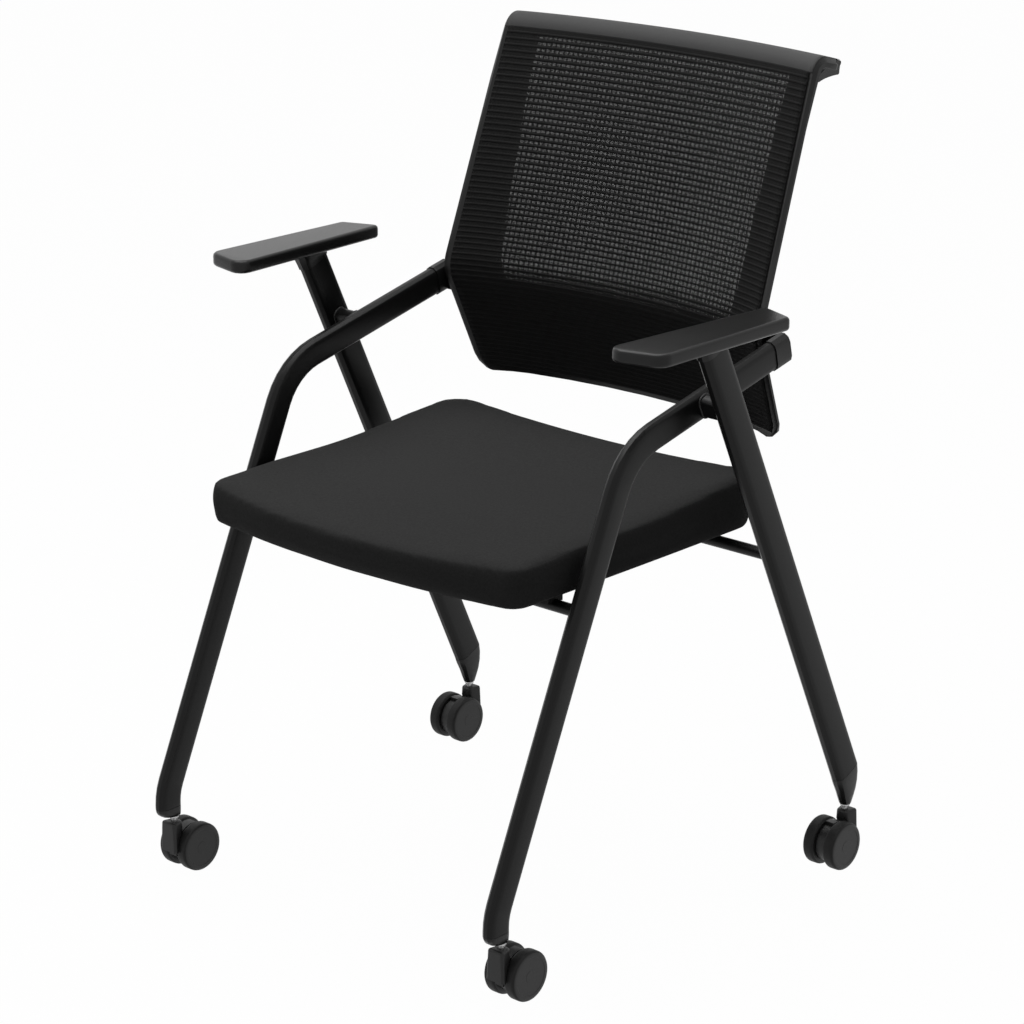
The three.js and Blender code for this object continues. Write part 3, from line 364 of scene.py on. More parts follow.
def cross_thread(run, tall, thick, sink, around):
    """A thread across the back at a run: how tall and thick it is, and how far its middle is sunk."""
    turns = np.linspace(0, 2 * math.pi, around, endpoint=False) + math.pi / around
    half = float(net_half_width(np.array(run)))
    x = np.linspace(-half, half, across_points)[:, None]
    swing = 1 / math.cos(math.pi / around)
    height = tall / 2 * np.clip(np.cos(turns) * swing, -1, 1)[None, :]
    depth = thick / 2 * np.clip(np.sin(turns) * swing, -1, 1)[None, :]
    return bar(back_point(x, run + height, sink - depth))


def net_threads(rows):
    """The net's padded ribs, and the fine threads between them."""
    threads = []
    sink = -net_lift - rib_thick / 2
    for start, end in zip(rows, rows[1:]):
        tall = (end - start) * rib_share
        gap = end - start - tall
        threads.append(cross_thread(start + tall / 2, tall, rib_thick, sink, rib_sides))
        for i in range(fine_threads):
            run = start + tall + gap * (i + 0.5) / fine_threads
            fine_tall = gap / fine_threads * fine_share
            threads.append(cross_thread(run, fine_tall, fine_thick, sink, fine_sides))
    return threads


def net_uprights(rows):
    """The net's flat uprights, which lean with its sides."""
    across = np.array([-0.5, 0.5, 0.5, -0.5]) * upright_width
    through = -net_lift + np.array([0, 0, -1, -1]) * upright_thick
    widest = back_half_width["lumbar"] - net_edge_inset
    count = int(2 * widest / upright_pitch)
    runs = np.arange(rows[0], rows[-1], row_pitch_foot / 2)
    halves = half_width_at(np.interp(runs, back_runs, back_zs)) - net_edge_inset
    uprights = []
    for share in (np.arange(count) + 0.5) / count * 2 - 1:
        inside = abs(share) * halves + upright_width / 2 < net_half_width(runs)
        x = share * halves[inside][:, None] + across[None, :]
        uprights.append(bar(back_point(x, runs[inside][:, None], through[None, :])))
    return uprights


def build_net():
    """The woven net on the face of the back."""
    rows = net_rows()
    return mesh_object("back_net_weave", *gathered(net_threads(rows) + net_uprights(rows)))


def build_top_band():
    """The cloth band drawn over the back's top lip."""
    runs = np.linspace(net_rows()[-1], back_length - band_end_inset, band_rows)
    shares = np.linspace(-1, 1, across_points)
    halves = half_width_at(np.interp(runs, back_runs, back_zs)) - corner_loss(runs) - band_edge_inset
    places = back_point(shares[None, :] * halves[:, None], runs[:, None], -band_lift)
    count = len(shares)
    faces = []
    for r in range(len(runs) - 1):
        for c in range(count - 1):
            faces.append((r * count + c, r * count + c + 1, (r + 1) * count + c + 1, (r + 1) * count + c))
    band = mesh_object("back_top_band", places.reshape(-1, 3), faces)
    thicken = band.modifiers.new("cloth_thickness", "SOLIDIFY")
    thicken.thickness = band_thick
    thicken.offset = 1
    return band


def lip_point(share, run, sink):
    """Points at a share of the lip's half width, which its rounded corners narrow."""
    half = half_width_at(np.interp(run, back_runs, back_zs)) - corner_loss(run) - cove_end_inset
    return back_point(share * half, run, sink)


def build_lip_cove():
    """The cove that thickens the back under its lip, with the lip's rounded end."""
    nose = cove_sinks[2] / 2
    nose_run = back_length - nose
    ends = np.array([crest_run - cove_drop, crest_run, nose_run])
    bend = np.linspace(0, 1, cove_steps)[:-1, None]
    turns = np.linspace(-math.pi / 2, math.pi / 2, nose_steps)
    rings = []
    for share in np.linspace(-1, 1, cove_columns):
        low, corner, high = lip_point(share, ends, np.array(cove_sinks))
        curve = low * (1 - bend) ** 2 + corner * 2 * bend * (1 - bend) + high * bend**2
        tip = lip_point(share, nose_run + nose * np.cos(turns), nose * (1 - np.sin(turns)))
        beds = lip_point(share, ends[::-1], np.array(cove_sinks[::-1]) - cove_bed)
        rings.append(np.vstack([curve, tip, beds[1:]]))
    cove = mesh_object("back_lip_cove", *bar(np.array(rings)))
    tidy_mesh(cove)
    sharpen(cove)
    return cove


def net_rim():
    """The loop along the net's edge, as places (x, run) on the back's face."""
    low = back_corner_radius["foot"]
    radius = low - net_edge_inset
    foot_half = float(half_width_at(foot_corner[1]))
    right = []
    for turn in np.linspace(-math.pi / 2, 0, corner_steps):
        right.append((foot_half - low + radius * math.cos(turn), low + radius * math.sin(turn)))
    for run in np.arange(low + binding_step, net_rows()[-1], binding_step):
        right.append((float(net_half_width(np.array(run))), run))
    left = [(-x, run) for x, run in reversed(right)]
    top_xs = np.linspace(right[-1][0], left[0][0], binding_rail_points)[1:-1]
    foot_xs = np.linspace(left[-1][0], right[0][0], binding_rail_points)[1:-1]
    top = [(x, right[-1][1]) for x in top_xs]
    foot = [(x, right[0][1]) for x in foot_xs]
    return np.array(right + top + left + foot)


def looped_bead(places, normals, radii):
    """A closed bead of varying radius along a loop of points, given a normal at each."""
    along = np.roll(places, -1, axis=0) - np.roll(places, 1, axis=0)
    along /= np.linalg.norm(along, axis=1, keepdims=True)
    side = np.cross(along, normals)
    side /= np.linalg.norm(side, axis=1, keepdims=True)
    front = np.cross(side, along)
    turns = np.linspace(0, 2 * math.pi, bead_sides, endpoint=False)
    spoke = side[:, None] * np.cos(turns)[None, :, None] + front[:, None] * np.sin(turns)[None, :, None]
    rings = places[:, None] + spoke * np.reshape(radii, (-1, 1, 1))
    return rings.reshape(-1, 3), ring_faces(len(places), bead_sides, closed=True)


def build_binding():
    """The sewn edge of the net, all round the face of the back."""
    rim = net_rim()
    places = back_point(rim[:, 0], rim[:, 1], -net_lift)
    normals = back_point(rim[:, 0], rim[:, 1], -net_lift - rib_thick) - places
    radii = np.full(len(rim), binding_radius)
    return mesh_object("back_net_binding", *looped_bead(places, normals, radii))


def points_of(mesh):
    """A mesh's points as an array."""
    points = np.empty(len(mesh.vertices) * 3)
    mesh.vertices.foreach_get("co", points)
    return points.reshape(-1, 3)


def put_points(mesh, points):
    """Moves a mesh's points to those of an array."""
    mesh.vertices.foreach_set("co", points.ravel())
    mesh.update()


def settled(obj):
    """The mesh that an object's modifiers make of it."""
    graph = bpy.context.evaluated_depsgraph_get()
    return bpy.data.meshes.new_from_object(obj.evaluated_get(graph))


def rounded_outline(corners):
    """An outline through corners (x, y, round), each rounded by an arc, as an array of places."""
    outline = []
    for i, (x, y, radius) in enumerate(corners):
        corner = Vector((x, y))
        arrive = (corner - Vector(corners[i - 1][:2])).normalized()
        leave = (Vector(corners[(i + 1) % len(corners)][:2]) - corner).normalized()
        turn = math.atan2(arrive.x * leave.y - arrive.y * leave.x, arrive.dot(leave))
        start = corner - arrive * radius * math.tan(abs(turn) / 2)
        side = Vector((-arrive.y, arrive.x)) * math.copysign(radius, turn)
        for step in range(corner_steps + 1):
            outline.append(start + side + Matrix.Rotation(turn * step / corner_steps, 2) @ -side)
    return np.array([tuple(point) for point in outline])


def spread_evenly(loop, step):
    """A closed loop of places with points put evenly along it."""
    closed = np.vstack([loop, loop[:1]])
    lengths = np.hypot(*np.diff(closed, axis=0).T)
    marks = np.concatenate(([0.0], np.cumsum(lengths)))
    wanted = np.linspace(0, marks[-1], int(marks[-1] / step), endpoint=False)
    return np.stack([np.interp(wanted, marks, closed[:, i]) for i in range(closed.shape[1])], axis=-1)


def smoothstep(value, low, high):
    """A share that rises smoothly from 0 at low to 1 at high."""
    share = np.clip((value - low) / (high - low), 0, 1)
    return share * share * (3 - 2 * share)


def cushion_height(x, y):
    """The height of the cushion's top over its base."""
    across = x / seat_half_width
    along = (2 * y - seat_rear_y - seat_nose_y) / (seat_rear_y - seat_nose_y)
    rear = smoothstep(y, *rise_reach)
    front = 1 - smoothstep(y, seat_nose_y, drop_reach)
    swell = (1 - across**2) * (crown * (1 - along**2) - rear_dish * rear)
    return side_height + rear_rise * rear - front_drop * front + swell


def seat_outline():
    """The cushion's outline from above, and the way inward at each of its points."""
    corners = [
        (seat_half_width, seat_rear_y, seat_rounds["rear"]),
        (-seat_half_width, seat_rear_y, seat_rounds["rear"]),
        (-seat_half_width, seat_corner_y, seat_rounds["front"]),
        (-seat_shoulder[0], seat_shoulder[1], seat_rounds["nose"]),
        (0, seat_nose_y, seat_rounds["nose"]),
        (seat_shoulder[0], seat_shoulder[1], seat_rounds["nose"]),
        (seat_half_width, seat_corner_y, seat_rounds["front"]),
    ]
    outline = spread_evenly(rounded_outline(corners), outline_step)
    along = np.roll(outline, -1, axis=0) - np.roll(outline, 1, axis=0)
    along /= np.linalg.norm(along, axis=1, keepdims=True)
    return outline, np.stack([-along[:, 1], along[:, 0]], axis=-1)


def side_ring(place, share):
    """The ring of the cushion's side over an outline, at a share of its height."""
    nose = np.clip((seat_corner_y - place[:, 1]) / (seat_corner_y - seat_nose_y), 0, 1)
    z = seat_base_z + share * cushion_height(place[:, 0], place[:, 1])
    y = place[:, 1] + nose_tuck * nose * (1 - share) ** 2
    return np.stack([place[:, 0], y, z], axis=-1)


def cushion_form():
    """The foam's shape: round under and over its drawn-in sides, with a swelling and dished top."""
    outline, inward = seat_outline()
    rings = []
    for turn in np.linspace(0, math.pi / 2, bottom_steps):
        lift = bottom_round[1] * (1 - math.cos(turn)) / side_height
        inset = bottom_round[0] * (1 - math.sin(turn))
        rings.append(side_ring(outline + inward * inset, lift))
    low_share = bottom_round[1] / side_height
    high_share = 1 - top_round[1] / side_height
    for share in side_shares:
        bulge = side_bulge * math.sin(share * math.pi)
        rings.append(side_ring(outline - inward * bulge, low_share + (high_share - low_share) * share))
    for turn in np.linspace(0, math.pi / 2, top_steps):
        drop = top_round[1] * (1 - math.sin(turn)) / side_height
        inset = top_round[0] * (1 - math.cos(turn))
        rings.append(side_ring(outline + inward * inset, 1 - drop))
    rim = outline + inward * top_round[0]
    middle = np.array([0, (seat_rear_y + seat_nose_y) / 2])
    for share in np.linspace(0, 1, inner_rings)[1:-1]:
        place = rim + (middle - rim) * share
        z = seat_base_z + cushion_height(place[:, 0], place[:, 1])
        rings.append(np.column_stack([place, z]))
    return bar(np.array(rings))


def build_cushion():
    """The stuffed seat: cloth blown up over the foam's shape, and held flat where it meets its shell."""
    cushion = mesh_object("seat_cushion_cloth", *cushion_form())
    remesh = cushion.modifiers.new("even_faces", "REMESH")
    remesh.mode = "VOXEL"
    remesh.voxel_size = cushion_voxel
    cushion.data = settled(cushion)
    cushion.modifiers.clear()
    start = points_of(cushion.data)
    held = np.flatnonzero(start[:, 2] < seat_base_z + cushion_hold)
    pins = cushion.vertex_groups.new(name="base")
    pins.add([int(i) for i in held], 1.0, "REPLACE")
    blow_up(cushion, pins, start)
    cushion.data.shade_smooth()
    ease = cushion.modifiers.new("eased_cloth", "SMOOTH")
    ease.factor = cushion_ease
    ease.iterations = 1
    rounder = cushion.modifiers.new("finer_cloth", "SUBSURF")
    rounder.levels = rounder.render_levels = 1
    return cushion


def blow_up(cushion, pins, start):
    """Fills the cushion with air, and keeps what moved no further than its reach."""
    cloth = cushion.modifiers.new("stuffing", "CLOTH")
    cloth.settings.quality = cushion_quality
    cloth.settings.use_pressure = True
    cloth.settings.uniform_pressure_force = cushion_pressure
    cloth.settings.effector_weights.gravity = 0
    cloth.settings.vertex_group_mass = pins.name
    cloth.point_cache.frame_start = 1
    cloth.point_cache.frame_end = cushion_frames
    for step in range(1, cushion_frames + 1):
        bpy.context.scene.frame_set(step)
    ended = points_of(settled(cushion))
    cushion.modifiers.remove(cloth)
    bpy.context.scene.frame_set(1)
    moved = ended - start
    far = np.linalg.norm(moved, axis=1, keepdims=True)
    put_points(cushion.data, start + moved * (cushion_reach / np.maximum(far, cushion_reach)))


def wheel_profile(radius, width):
    """Half the section of a wheel as (radius, distance from its inner face), from axis to axis."""
    arc = np.linspace(0, math.pi / 2, edge_steps)
    rounds = [(wheel_edge * (1 - math.sin(a)), wheel_edge * (1 - math.cos(a))) for a in arc]
    inner = [(radius - fall, rise) for fall, rise in rounds]
    outer = [(radius - rise, width - fall) for fall, rise in rounds]
    face = [
        (face_radius + face_dish, width), (face_radius, width - face_dish),
        (cap_radius + cap_rise, width - face_dish), (cap_radius, width - face_dish + cap_rise),
        (0, width - face_dish + cap_rise),
    ]
    start = [(0, width - axle_depth), (axle_room, width - axle_depth), (axle_room, 0)]
    return start + inner + outer + face


def build_wheel(node, stem):
    """A turned wheel with a tyre, a dished face and a hub cap, in a CAD wheel's place."""
    low, high = (Vector(corner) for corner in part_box(node))
    stem_low, stem_high = (Vector(corner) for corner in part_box(stem))
    middle = (low + high) / 2
    outward = math.copysign(1, middle.x - (stem_low.x + stem_high.x) / 2)
    inner_x = low.x if outward > 0 else high.x
    turns = np.linspace(0, 2 * math.pi, wheel_segments, endpoint=False)
    points = []
    profile = wheel_profile((high.z - low.z) / 2, high.x - low.x)
    for reach, along in profile:
        x = inner_x + outward * along
        for turn in turns:
            points.append((x, middle.y + reach * math.cos(turn), middle.z + reach * math.sin(turn)))
    wheel = mesh_object(f"{node}_turned", points, ring_faces(len(profile), wheel_segments))
    tidy_mesh(wheel)
    sharpen(wheel)
    return wheel


def mark_tyre(wheel, node):
    """Gives the faces of a wheel's tread the second of its finishes."""
    low, high = (Vector(corner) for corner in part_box(node))
    middle = (low + high) / 2
    for face in wheel.data.polygons:
        reach = math.hypot(face.center.y - middle.y, face.center.z - middle.z)
        face.material_index = int(reach > (high.z - low.z) / 2 - wheel_edge / 2)


def box_object(name, low, high):
    """A box between two corners."""
    points = [(x, y, z) for x in (low[0], high[0]) for y in (low[1], high[1]) for z in (low[2], high[2])]
    faces = [(0, 1, 3, 2), (4, 6, 7, 5), (0, 4, 5, 1), (2, 3, 7, 6), (0, 2, 6, 4), (1, 5, 7, 3)]
    return mesh_object(name, points, faces, smooth=False)


def build_hood(node, stem):
    """A castor hood whose front panel stops above the wheels' lower half."""
    hood = link(bpy.data.objects.new(f"{node}_open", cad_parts[node].data.copy()))
    tidy_mesh(hood)
    low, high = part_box(node)
    stem_low, stem_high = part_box(stem)
    ends = [low[1] - panel_room, low[1] + panel_room]
    if high[1] - stem_high[1] < stem_low[1] - low[1]:
        ends = [high[1] - panel_room, high[1] + panel_room]
    cutter_low = (low[0] - panel_room, ends[0], low[2] - panel_room)
    cutter_high = (high[0] + panel_room, ends[1], panel_foot_z)
    cutter = box_object("panel_cutter", cutter_low, cutter_high)
    cut = hood.modifiers.new("open_panel", "BOOLEAN")
    cut.operation = "DIFFERENCE"
    cut.object = cutter
    hood.data = settled(hood)
    hood.modifiers.clear()
    bpy.data.objects.remove(cutter)
    return hood


def tidy_mesh(obj):
    """Joins points that lie on each other, and turns all faces outwards."""
    shape = bmesh.new()
    shape.from_mesh(obj.data)
    bmesh.ops.remove_doubles(shape, verts=shape.verts, dist=merge_reach)
    bmesh.ops.recalc_face_normals(shape, faces=shape.faces)
    shape.to_mesh(obj.data)
    shape.free()


def sharpen(obj):
    """Keeps an object's hard edges crisp under smooth shading."""
    obj.data.shade_smooth()
    for edge in obj.data.edges:
        edge.use_edge_sharp = False
    obj.data.set_sharp_from_angle(angle=crisp_angle)


def end_loop(node, x):
    """The outer edge of a CAD node's end face at a distance x, as an even loop."""
    corners = [v.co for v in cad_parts[node].data.vertices if abs(v.co.x - x) < end_reach]
    places = sorted({(round(corner.y, place_digits), round(corner.z, place_digits)) for corner in corners})
    hull = [Vector(places[i]) for i in convex_hull_2d([Vector(p) for p in places])]
    loop = spread_evenly(np.array([tuple(p) for p in hull]), bead_ripple / 2)
    return np.column_stack([np.full(len(loop), x), loop])


def build_weld_beads():
    """Rippled weld beads where the cross bars and the spacers meet the tubes."""
    parts = []
    for node in ("front_bar", "rear_bar", "tube_spacer_left", "tube_spacer_right"):
        low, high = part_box(node)
        for x in (low[0], high[0]):
            loop = end_loop(node, x)
            ripples = 1 + bead_swell * np.sin(np.arange(len(loop)) * math.pi / 2)
            normals = np.tile((1.0, 0.0, 0.0), (len(loop), 1))
            parts.append(looped_bead(loop, normals, bead_radius * ripples))
    return mesh_object("weld_beads", *gathered(parts))


def add_node(tree, kind, inputs=(), **settings):
    """A node with its settings; each input, by name or number, is linked or set to a value."""
    made = tree.nodes.new(kind)
    for key, value in settings.items():
        setattr(made, key, value)
    for key, value in dict(inputs).items():
        if isinstance(value, bpy.types.NodeSocket):
            tree.links.new(value, made.inputs[key])
        else:
            made.inputs[key].default_value = value
    return made


def maths(tree, operation, first, second=0.0):
    """The outcome of a sum on two values or sockets."""
    return add_node(tree, "ShaderNodeMath", {0: first, 1: second}, operation=operation).outputs[0]


def remapped(tree, value, low, high):
    """A value moved from a range to 0 to 1, and kept inside it."""
    given = {"Value": value, "From Min": low, "From Max": high}
    return add_node(tree, "ShaderNodeMapRange", given).outputs["Result"]


def mixed_color(tree, share, first, second):
    """Two colours mixed by a share."""
    mix = add_node(tree, "ShaderNodeMix", {"Factor": share}, data_type="RGBA")
    for key, value in (("A", first), ("B", second)):
        socket = next(i for i in mix.inputs if i.name == key and i.type == "RGBA")
        if isinstance(value, bpy.types.NodeSocket):
            tree.links.new(value, socket)
        else:
            socket.default_value = value
    return next(o for o in mix.outputs if o.type == "RGBA")


def scaled_color(tree, color, share):
    """A colour made lighter or darker by a share."""
    scaled = add_node(tree, "ShaderNodeVectorMath", {0: color, "Scale": share}, operation="SCALE")
    return scaled.outputs["Vector"]


def mottled(tree, color, value, amount):
    """A colour that is lighter or darker by an amount, as a value lies over or under 0."""
    return scaled_color(tree, color, maths(tree, "ADD", maths(tree, "MULTIPLY", value, amount), 1.0))


def noise_value(tree, scale, detail):
    """A cloudy value over the surface, from 0 to 1."""
    place = add_node(tree, "ShaderNodeTexCoord").outputs["Object"]
    given = {"Vector": place, "Scale": scale, "Detail": detail}
    return add_node(tree, "ShaderNodeTexNoise", given).outputs["Fac"]


def new_group(name, inputs, outputs):
    """A node group with named inputs (kind and value) and outputs (kind): itself, its start and its end."""
    group = bpy.data.node_groups.new(name, "ShaderNodeTree")
    for label, (kind, value) in inputs.items():
        socket = group.interface.new_socket(label, in_out="INPUT", socket_type=f"NodeSocket{kind}")
        socket.default_value = value
    for label, kind in outputs.items():
        group.interface.new_socket(label, in_out="OUTPUT", socket_type=f"NodeSocket{kind}")
    return group, group.nodes.new("NodeGroupInput").outputs, group.nodes.new("NodeGroupOutput").inputs


def build_grain():
    """Fine pebbled grain, with a soft mottle in colour."""
    group, given, made = new_group(
        "fine_grain",
        {"Color": ("Color", plain_black), "Scale": ("Float", 900.0), "Mottle": ("Float", 0.1)},
        {"Color": "Color", "Height": "Float"},
    )
    pebbles = noise_value(group, given["Scale"], detail=1.0)
    clouds = noise_value(group, maths(group, "MULTIPLY", given["Scale"], cloud_share), detail=3.0)
    sway = maths(group, "SUBTRACT", maths(group, "ADD", pebbles, clouds), 1.0)
    group.links.new(mottled(group, given["Color"], sway, given["Mottle"]), made["Color"])
    group.links.new(remapped(group, pebbles, *pebble_range), made["Height"])
    return group


def build_edge_wear():
    """Rubbed edges: paler and smoother where a surface is sharply convex."""
    group, given, made = new_group(
        "edge_wear",
        {
            "Color": ("Color", plain_black), "Roughness": ("Float", 0.5),
            "Worn Color": ("Color", (0.1, 0.1, 0.1, 1)), "Worn Roughness": ("Float", 0.4),
            "Amount": ("Float", 0.2),
        },
        {"Color": "Color", "Roughness": "Float"},
    )
    point = add_node(group, "ShaderNodeNewGeometry").outputs["Pointiness"]
    edge = remapped(group, point, *worn_edge_range)
    patch = remapped(group, noise_value(group, wear_patch_scale, detail=4.0), *wear_patch_range)
    rubbed = maths(group, "MULTIPLY", maths(group, "MULTIPLY", edge, patch), given["Amount"])
    group.links.new(mixed_color(group, rubbed, given["Color"], given["Worn Color"]), made["Color"])
    smoother = maths(group, "SUBTRACT", given["Worn Roughness"], given["Roughness"])
    smoother = maths(group, "MULTIPLY", smoother, rubbed)
    group.links.new(maths(group, "ADD", given["Roughness"], smoother), made["Roughness"])
    return group


def build_dust_and_sheen():
    """A thin fall of dust on what faces up, which also paints a paler sheen on the tops, as where the light
    falls on them.
    """
    group, given, made = new_group(
        "settled_dust_and_top_sheen",
        {
            "Color": ("Color", plain_black), "Roughness": ("Float", 0.5),
            "Dust And Sheen Color": ("Color", (0.35, 0.34, 0.32, 1)), "Amount": ("Float", 0.03),
        },
        {"Color": "Color", "Roughness": "Float"},
    )
    normal = add_node(group, "ShaderNodeTexCoord").outputs["Normal"]
    up = add_node(group, "ShaderNodeSeparateXYZ", {0: normal}).outputs["Z"]
    # Painted sheen and dust: surfaces that face up are made paler, partly as dust and partly as light
    # falling on the tops
    facing = remapped(group, up, *dust_and_sheen_facing_range)
    specks = remapped(group, noise_value(group, dust_speck_scale, detail=5.0), *dust_speck_range)
    dust_and_sheen_share = maths(group, "MULTIPLY", maths(group, "MULTIPLY", facing, specks), given["Amount"])
    group.links.new(mixed_color(group, dust_and_sheen_share, given["Color"], given["Dust And Sheen Color"]), made["Color"])
    duller = maths(group, "MULTIPLY", maths(group, "SUBTRACT", 1.0, given["Roughness"]), dust_and_sheen_share)
    group.links.new(maths(group, "ADD", given["Roughness"], duller), made["Roughness"])
    return group


def build_weave():
    """Threads over and under each other, laid along the sides that the surface faces."""
    group, given, made = new_group(
        "plain_weave",
        {"Color": ("Color", plain_black), "Threads": ("Float", 5000.0), "Contrast": ("Float", 0.3)},
        {"Color": "Color", "Height": "Float"},
    )
    coord = add_node(group, "ShaderNodeTexCoord").outputs
    place = add_node(group, "ShaderNodeSeparateXYZ", {0: coord["Object"]}).outputs
    facing = add_node(group, "ShaderNodeSeparateXYZ", {0: coord["Normal"]}).outputs
    sideways = maths(group, "GREATER_THAN", maths(group, "ABSOLUTE", facing["X"]), side_facing)
    upright = maths(group, "LESS_THAN", maths(group, "ABSOLUTE", facing["Z"]), top_facing)
    across = chosen(group, sideways, place["X"], place["Y"])
    along = chosen(group, upright, place["Y"], place["Z"])
    warp = maths(group, "SINE", maths(group, "MULTIPLY", across, given["Threads"]))
    weft = maths(group, "SINE", maths(group, "MULTIPLY", along, given["Threads"]))
    cross = maths(group, "MULTIPLY", warp, weft)
    slub = maths(group, "SUBTRACT", noise_value(group, slub_scale, detail=4.0), 0.5)
    raised = maths(group, "ADD", maths(group, "MULTIPLY", cross, 0.5), slub)
    group.links.new(mottled(group, given["Color"], raised, given["Contrast"]), made["Color"])
    group.links.new(maths(group, "ADD", maths(group, "MULTIPLY", cross, 0.5), 0.5), made["Height"])
    return group


def chosen(tree, share, first, second):
    """The first value where a share is 0, and the second where it is 1."""
    difference = maths(tree, "SUBTRACT", second, first)
    return maths(tree, "ADD", maths(tree, "MULTIPLY", difference, share), first)


def build_yarn():
    """Twisted yarn that runs across, with slanting strands."""
    group, given, made = new_group(
        "twisted_yarn",
        {"Color": ("Color", plain_black), "Threads": ("Float", 4000.0), "Contrast": ("Float", 0.4)},
        {"Color": "Color", "Height": "Float"},
    )
    place = add_node(group, "ShaderNodeTexCoord").outputs["Object"]
    axes = add_node(group, "ShaderNodeSeparateXYZ", {0: place}).outputs
    slant = maths(group, "ADD", axes["X"], maths(group, "MULTIPLY", axes["Z"], strand_slant))
    strand = maths(group, "SINE", maths(group, "MULTIPLY", slant, given["Threads"]))
    fluff = maths(group, "SUBTRACT", noise_value(group, fluff_scale, detail=3.0), 0.5)
    raised = maths(group, "ADD", maths(group, "MULTIPLY", strand, 0.5), fluff)
    group.links.new(mottled(group, given["Color"], raised, given["Contrast"]), made["Color"])
    group.links.new(remapped(group, raised, *strand_range), made["Height"])
    return group


grain_group = build_grain()
wear_group = build_edge_wear()
dust_and_sheen_group = build_dust_and_sheen()
weave_group = build_weave()
yarn_group = build_yarn()


def placed(tree, group, inputs):
    """The outputs of a node group placed in a material."""
    return add_node(tree, "ShaderNodeGroup", inputs, node_tree=group).outputs


def grey(level):
    """A grey colour."""
    return (level, level, level, 1.0)


def empty_material(name):
    """A new material, and its node tree with nothing in it."""
    material = bpy.data.materials.new(name)
    material.use_nodes = True
    material.node_tree.nodes.clear()
    return material, material.node_tree


def new_finish(name, gloss, metallic=0.0):
    """A material with its shader: how glossy it is, and whether it is metal."""
    material, tree = empty_material(name)
    shader = add_node(tree, "ShaderNodeBsdfPrincipled", {"Specular IOR Level": gloss, "Metallic": metallic})
    add_node(tree, "ShaderNodeOutputMaterial", {"Surface": shader.outputs["BSDF"]})
    return material, tree, shader


def finish_shader(tree, shader, color, roughness, height, depth, dust_and_sheen):
    """Lays dust and a painted top sheen over a surface, and links its colour, roughness and relief to its
    shader.
    """
    dust_and_sheen_coat = placed(tree, dust_and_sheen_group, {"Color": color, "Roughness": roughness, "Amount": dust_and_sheen})
    tree.links.new(dust_and_sheen_coat["Color"], shader.inputs["Base Color"])
    tree.links.new(dust_and_sheen_coat["Roughness"], shader.inputs["Roughness"])
    bump = add_node(tree, "ShaderNodeBump", {"Height": height, "Distance": depth, "Strength": 1.0})
    tree.links.new(bump.outputs["Normal"], shader.inputs["Normal"])


def grained_finish(name, level, roughness, gloss, grain, worn, dust_and_sheen, metallic=0.0):
    """A coated, moulded or plated finish: its grain is (scale, depth, mottle), its wear (level, amount)."""
    material, tree, shader = new_finish(name, gloss, metallic)
    scale, depth, mottle = grain
    pebbled = placed(tree, grain_group, {"Color": grey(level), "Scale": scale, "Mottle": mottle})
    rubbed = placed(tree, wear_group, {
        "Color": pebbled["Color"], "Roughness": roughness, "Worn Color": grey(worn[0]),
        "Worn Roughness": roughness * worn_smoothness, "Amount": worn[1],
    })
    finish_shader(tree, shader, rubbed["Color"], rubbed["Roughness"], pebbled["Height"], depth, dust_and_sheen)
    return material


def thread_finish(name, group, level, roughness, gloss, threads, contrast, depth, dust_and_sheen):
    """A woven or twisted finish: threads in radians per metre, their contrast in colour and their depth."""
    material, tree, shader = new_finish(name, gloss)
    spun = placed(tree, group, {"Color": grey(level), "Threads": threads, "Contrast": contrast})
    finish_shader(tree, shader, spun["Color"], roughness, spun["Height"], depth, dust_and_sheen)
    return material


# Each finish's dust amount also sets how much painted sheen lightens its up-facing surfaces
powder_coat = grained_finish(
    "black_powder_coat", level=0.009, roughness=0.34, gloss=0.17,
    grain=(1500.0, coat_depth, 0.15), worn=(0.05, 0.5), dust_and_sheen=0.004,
)
shell_plastic = grained_finish(
    "moulded_black", level=0.014, roughness=0.28, gloss=0.22,
    grain=(1900.0, coat_depth, 0.2), worn=(0.05, 0.5), dust_and_sheen=0.006,
)
castor_nylon = grained_finish(
    "castor_nylon", level=0.018, roughness=0.42, gloss=0.30,
    grain=(1600.0, coat_depth, 0.25), worn=(0.07, 0.7), dust_and_sheen=0.012,
)
tyre_rubber = grained_finish(
    "castor_tyre", level=0.011, roughness=0.55, gloss=0.20,
    grain=(900.0, coat_depth, 0.3), worn=(0.05, 0.8), dust_and_sheen=0.010,
)
pad_rubber = grained_finish(
    "rest_rubber", level=0.012, roughness=0.75, gloss=0.20,
    grain=(1200.0, rubber_depth, 0.2), worn=(0.04, 0.4), dust_and_sheen=0.010,
)
zinc_plate = grained_finish(
    "zinc_plate", level=0.42, roughness=0.34, gloss=0.5,
    grain=(700.0, plate_depth, 0.3), worn=(0.6, 0.5), dust_and_sheen=0.004, metallic=1.0,
)
weld_steel = grained_finish(
    "coated_weld", level=0.015, roughness=0.40, gloss=0.25,
    grain=(600.0, weld_depth, 0.2), worn=(0.05, 0.5), dust_and_sheen=0.004,
)
seat_cloth = thread_finish(
    "seat_cloth", weave_group, level=0.036, roughness=0.9, gloss=0.05,
    threads=5200.0, contrast=0.5, depth=cloth_depth, dust_and_sheen=0.010,
)
net_yarn = thread_finish(
    "net_yarn", yarn_group, level=0.021, roughness=0.85, gloss=0.06,
    threads=3600.0, contrast=0.5, depth=yarn_depth, dust_and_sheen=0.004,
)
binding_thread = thread_finish(
    "binding_thread", yarn_group, level=0.016, roughness=0.85, gloss=0.06,
    threads=5200.0, contrast=0.5, depth=thread_depth, dust_and_sheen=0.004,
)
